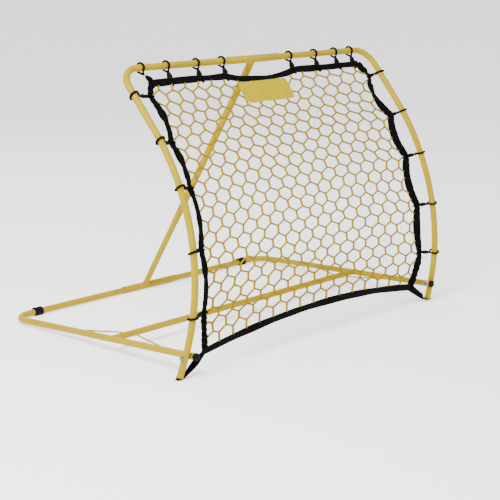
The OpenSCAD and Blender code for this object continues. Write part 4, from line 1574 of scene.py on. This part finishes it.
@dataclass(frozen=True)
class StrutTrim:
    """The two sleeves that the strut turns by, and the weld beads of its tubes on them."""

    top: Point = (-0.012, -0.144023, 1.05144)
    foot: Point = (-0.012, 0.527037, 0.015)
    sleeve_r: float = 0.0148
    bore_r: float = 0.0128
    rim: float = 0.0007
    outer_r: float = 0.014
    tube_r: float = 0.0125

    def sleeves(self) -> list[Piece]:
        """Makes each sleeve where its solid is.

        The section goes along the outside, round an eased rim and back along the bore.

        Returns:
            The sleeve at the top and the one at the rear.
        """
        r, e = self.sleeve_r, self.rim
        pieces = []
        for node, body in (("top_sleeve", Body.STRUT_UPPER), ("rear_sleeve", Body.STRUT_LOWER)):
            low, high = np.array(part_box(node))
            end = high[0] - low[0]
            rim = [(0.0, r - e), (0.3 * e, r - 0.3 * e), (e, r)]
            far = [(end - x, y) for x, y in reversed(rim)]
            profile = np.array([(0.0, self.bore_r), *rim, *far, (end, self.bore_r)])
            base = (low + high) / 2.0 - vec(end / 2.0, 0.0, 0.0)
            grid = turned(profile, base, vec(1.0, 0.0, 0.0), 72)
            maker = MeshMaker(f"dressed_{node}").add(grid, closed_rings=True)
            pieces.append(maker.build(body, Slot.ENAMEL, [node]))
        return pieces

    def welds(self) -> list[Piece]:
        """Makes one bead at each end of the strut.

        Returns:
            The bead at the top and the one at the foot.
        """
        top, foot, bar = np.array(self.top), np.array(self.foot), vec(1.0, 0.0, 0.0)
        down = unit(foot - top)
        pieces = []
        for name, body, bead in (
                ("top", Body.STRUT_UPPER, Weld(top, bar, down, self.sleeve_r, self.outer_r)),
                ("foot", Body.STRUT_LOWER, Weld(foot, bar, -down, self.sleeve_r, self.tube_r))):
            maker = MeshMaker(f"strut_{name}_weld").add(bead.grid(), closed_rings=True)
            pieces.append(maker.build(body, Slot.ENAMEL))
        return pieces


# ---------------------------------------------------------------- studio


@dataclass(frozen=True)
class Lamp:
    """One square soft light that faces the object."""

    name: str
    at: Point
    size: float
    power: float
    look: Point = (0.0, 0.0, 0.45)

    def hang(self) -> None:
        """Hangs the light."""
        data = bpy.data.lights.new(self.name, "AREA")
        data.size, data.energy = self.size, self.power
        aim = np.array(self.look) - np.array(self.at)
        pitch = math.atan2(float(np.hypot(aim[0], aim[1])), -aim[2])
        placed(self.name, data, self.at, (pitch, 0.0, -math.atan2(aim[0], aim[1])))


@dataclass(frozen=True)
class Studio:
    """Pale floor, soft lights and the camera.

    The floor glows a little of its own, as a light table does, so that it stays paler than
    what stands on it.
    """

    camera_at: Point = (-3.407, -3.4677, 1.429)
    yaw: float = 45.49
    dip: float = 13.5
    lens: float = 87.4
    sensor: float = 36.0
    lamps: tuple[Lamp, ...] = (
        Lamp("key", (-3.4, -1.4, 4.0), 2.0, 560.0),
        Lamp("fill", (3.2, -2.2, 2.6), 3.6, 30.0),
        Lamp("back", (0.6, 3.8, 3.4), 3.0, 90.0),
    )
    sky: float = 1.25
    floor_half: float = 40.0
    floor_paint: Colour = (0.9, 0.9, 0.9)
    floor_rough: float = 0.7
    glow: float = 0.65

    def build(self) -> None:
        """Makes the camera, the floor, the lamps and the sky."""
        data = bpy.data.cameras.new("camera")
        data.lens, data.sensor_width = self.lens, self.sensor
        turn = (math.radians(90.0 - self.dip), 0.0, -math.radians(self.yaw))
        bpy.context.scene.camera = placed("camera", data, self.camera_at, turn)
        self._floor()
        for lamp in self.lamps:
            lamp.hang()
        world = bpy.data.worlds.new("studio")
        world.use_nodes = True
        sky = world.node_tree.nodes["Background"].inputs
        sky["Color"].default_value = (1.0, 1.0, 1.0, 1.0)
        sky["Strength"].default_value = self.sky
        bpy.context.scene.world = world

    def _floor(self) -> None:
        """Lays a wide pale floor."""
        h = self.floor_half
        mesh = bpy.data.meshes.new("floor")
        mesh.from_pydata([(-h, -h, 0), (h, -h, 0), (h, h, 0), (-h, h, 0)], [], [(0, 1, 2, 3)])
        floor = placed("floor", mesh)
        g = Graph("floor")
        g.set(Base_Color=(*self.floor_paint, 1.0), Roughness=self.floor_rough,
              Emission_Color=(1.0, 1.0, 1.0, 1.0), Emission_Strength=self.glow)
        floor.data.materials.append(g.material)


# ---------------------------------------------------------------- whole


def dress_frame(record: dict[str, Any], nodes: dict[str, Piece]) -> None:
    """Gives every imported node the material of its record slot.

    Args:
        record: The part's record.
        nodes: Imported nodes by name.
    """
    for part in record["subparts"]:
        for place in nodes[part["node"]].material_slots:
            place.material = material(Slot(part["material_slot"]))


def main() -> None:
    """Builds the dressed rebounder and its studio."""
    logging.basicConfig(level=logging.INFO, format="%(name)s: %(message)s")
    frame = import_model()
    Studio().build()
    dress_frame(frame["record"], frame["nodes"])

    surface = NetSurface(BowLine())
    webbing = Webbing(surface)
    top_bar = np.array(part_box("top_sleeve")).mean(axis=0)
    top_ties = surface.half * np.array(TOP_TIE_SHARES)
    Net(surface, webbing).build()
    webbing.top(top_ties)
    for side in Side:
        webbing.side(side)
    webbing.bottom()
    Patch(surface).build()
    Ties(Anchors.collect(webbing, top_bar, top_ties), surface.bow.tube_r).build()
    ground, strut = GroundTrim(), StrutTrim()
    for make in (ground.welds, ground.sleeves, strut.sleeves, strut.welds):
        make()


if __name__ == "__main__":
    main()
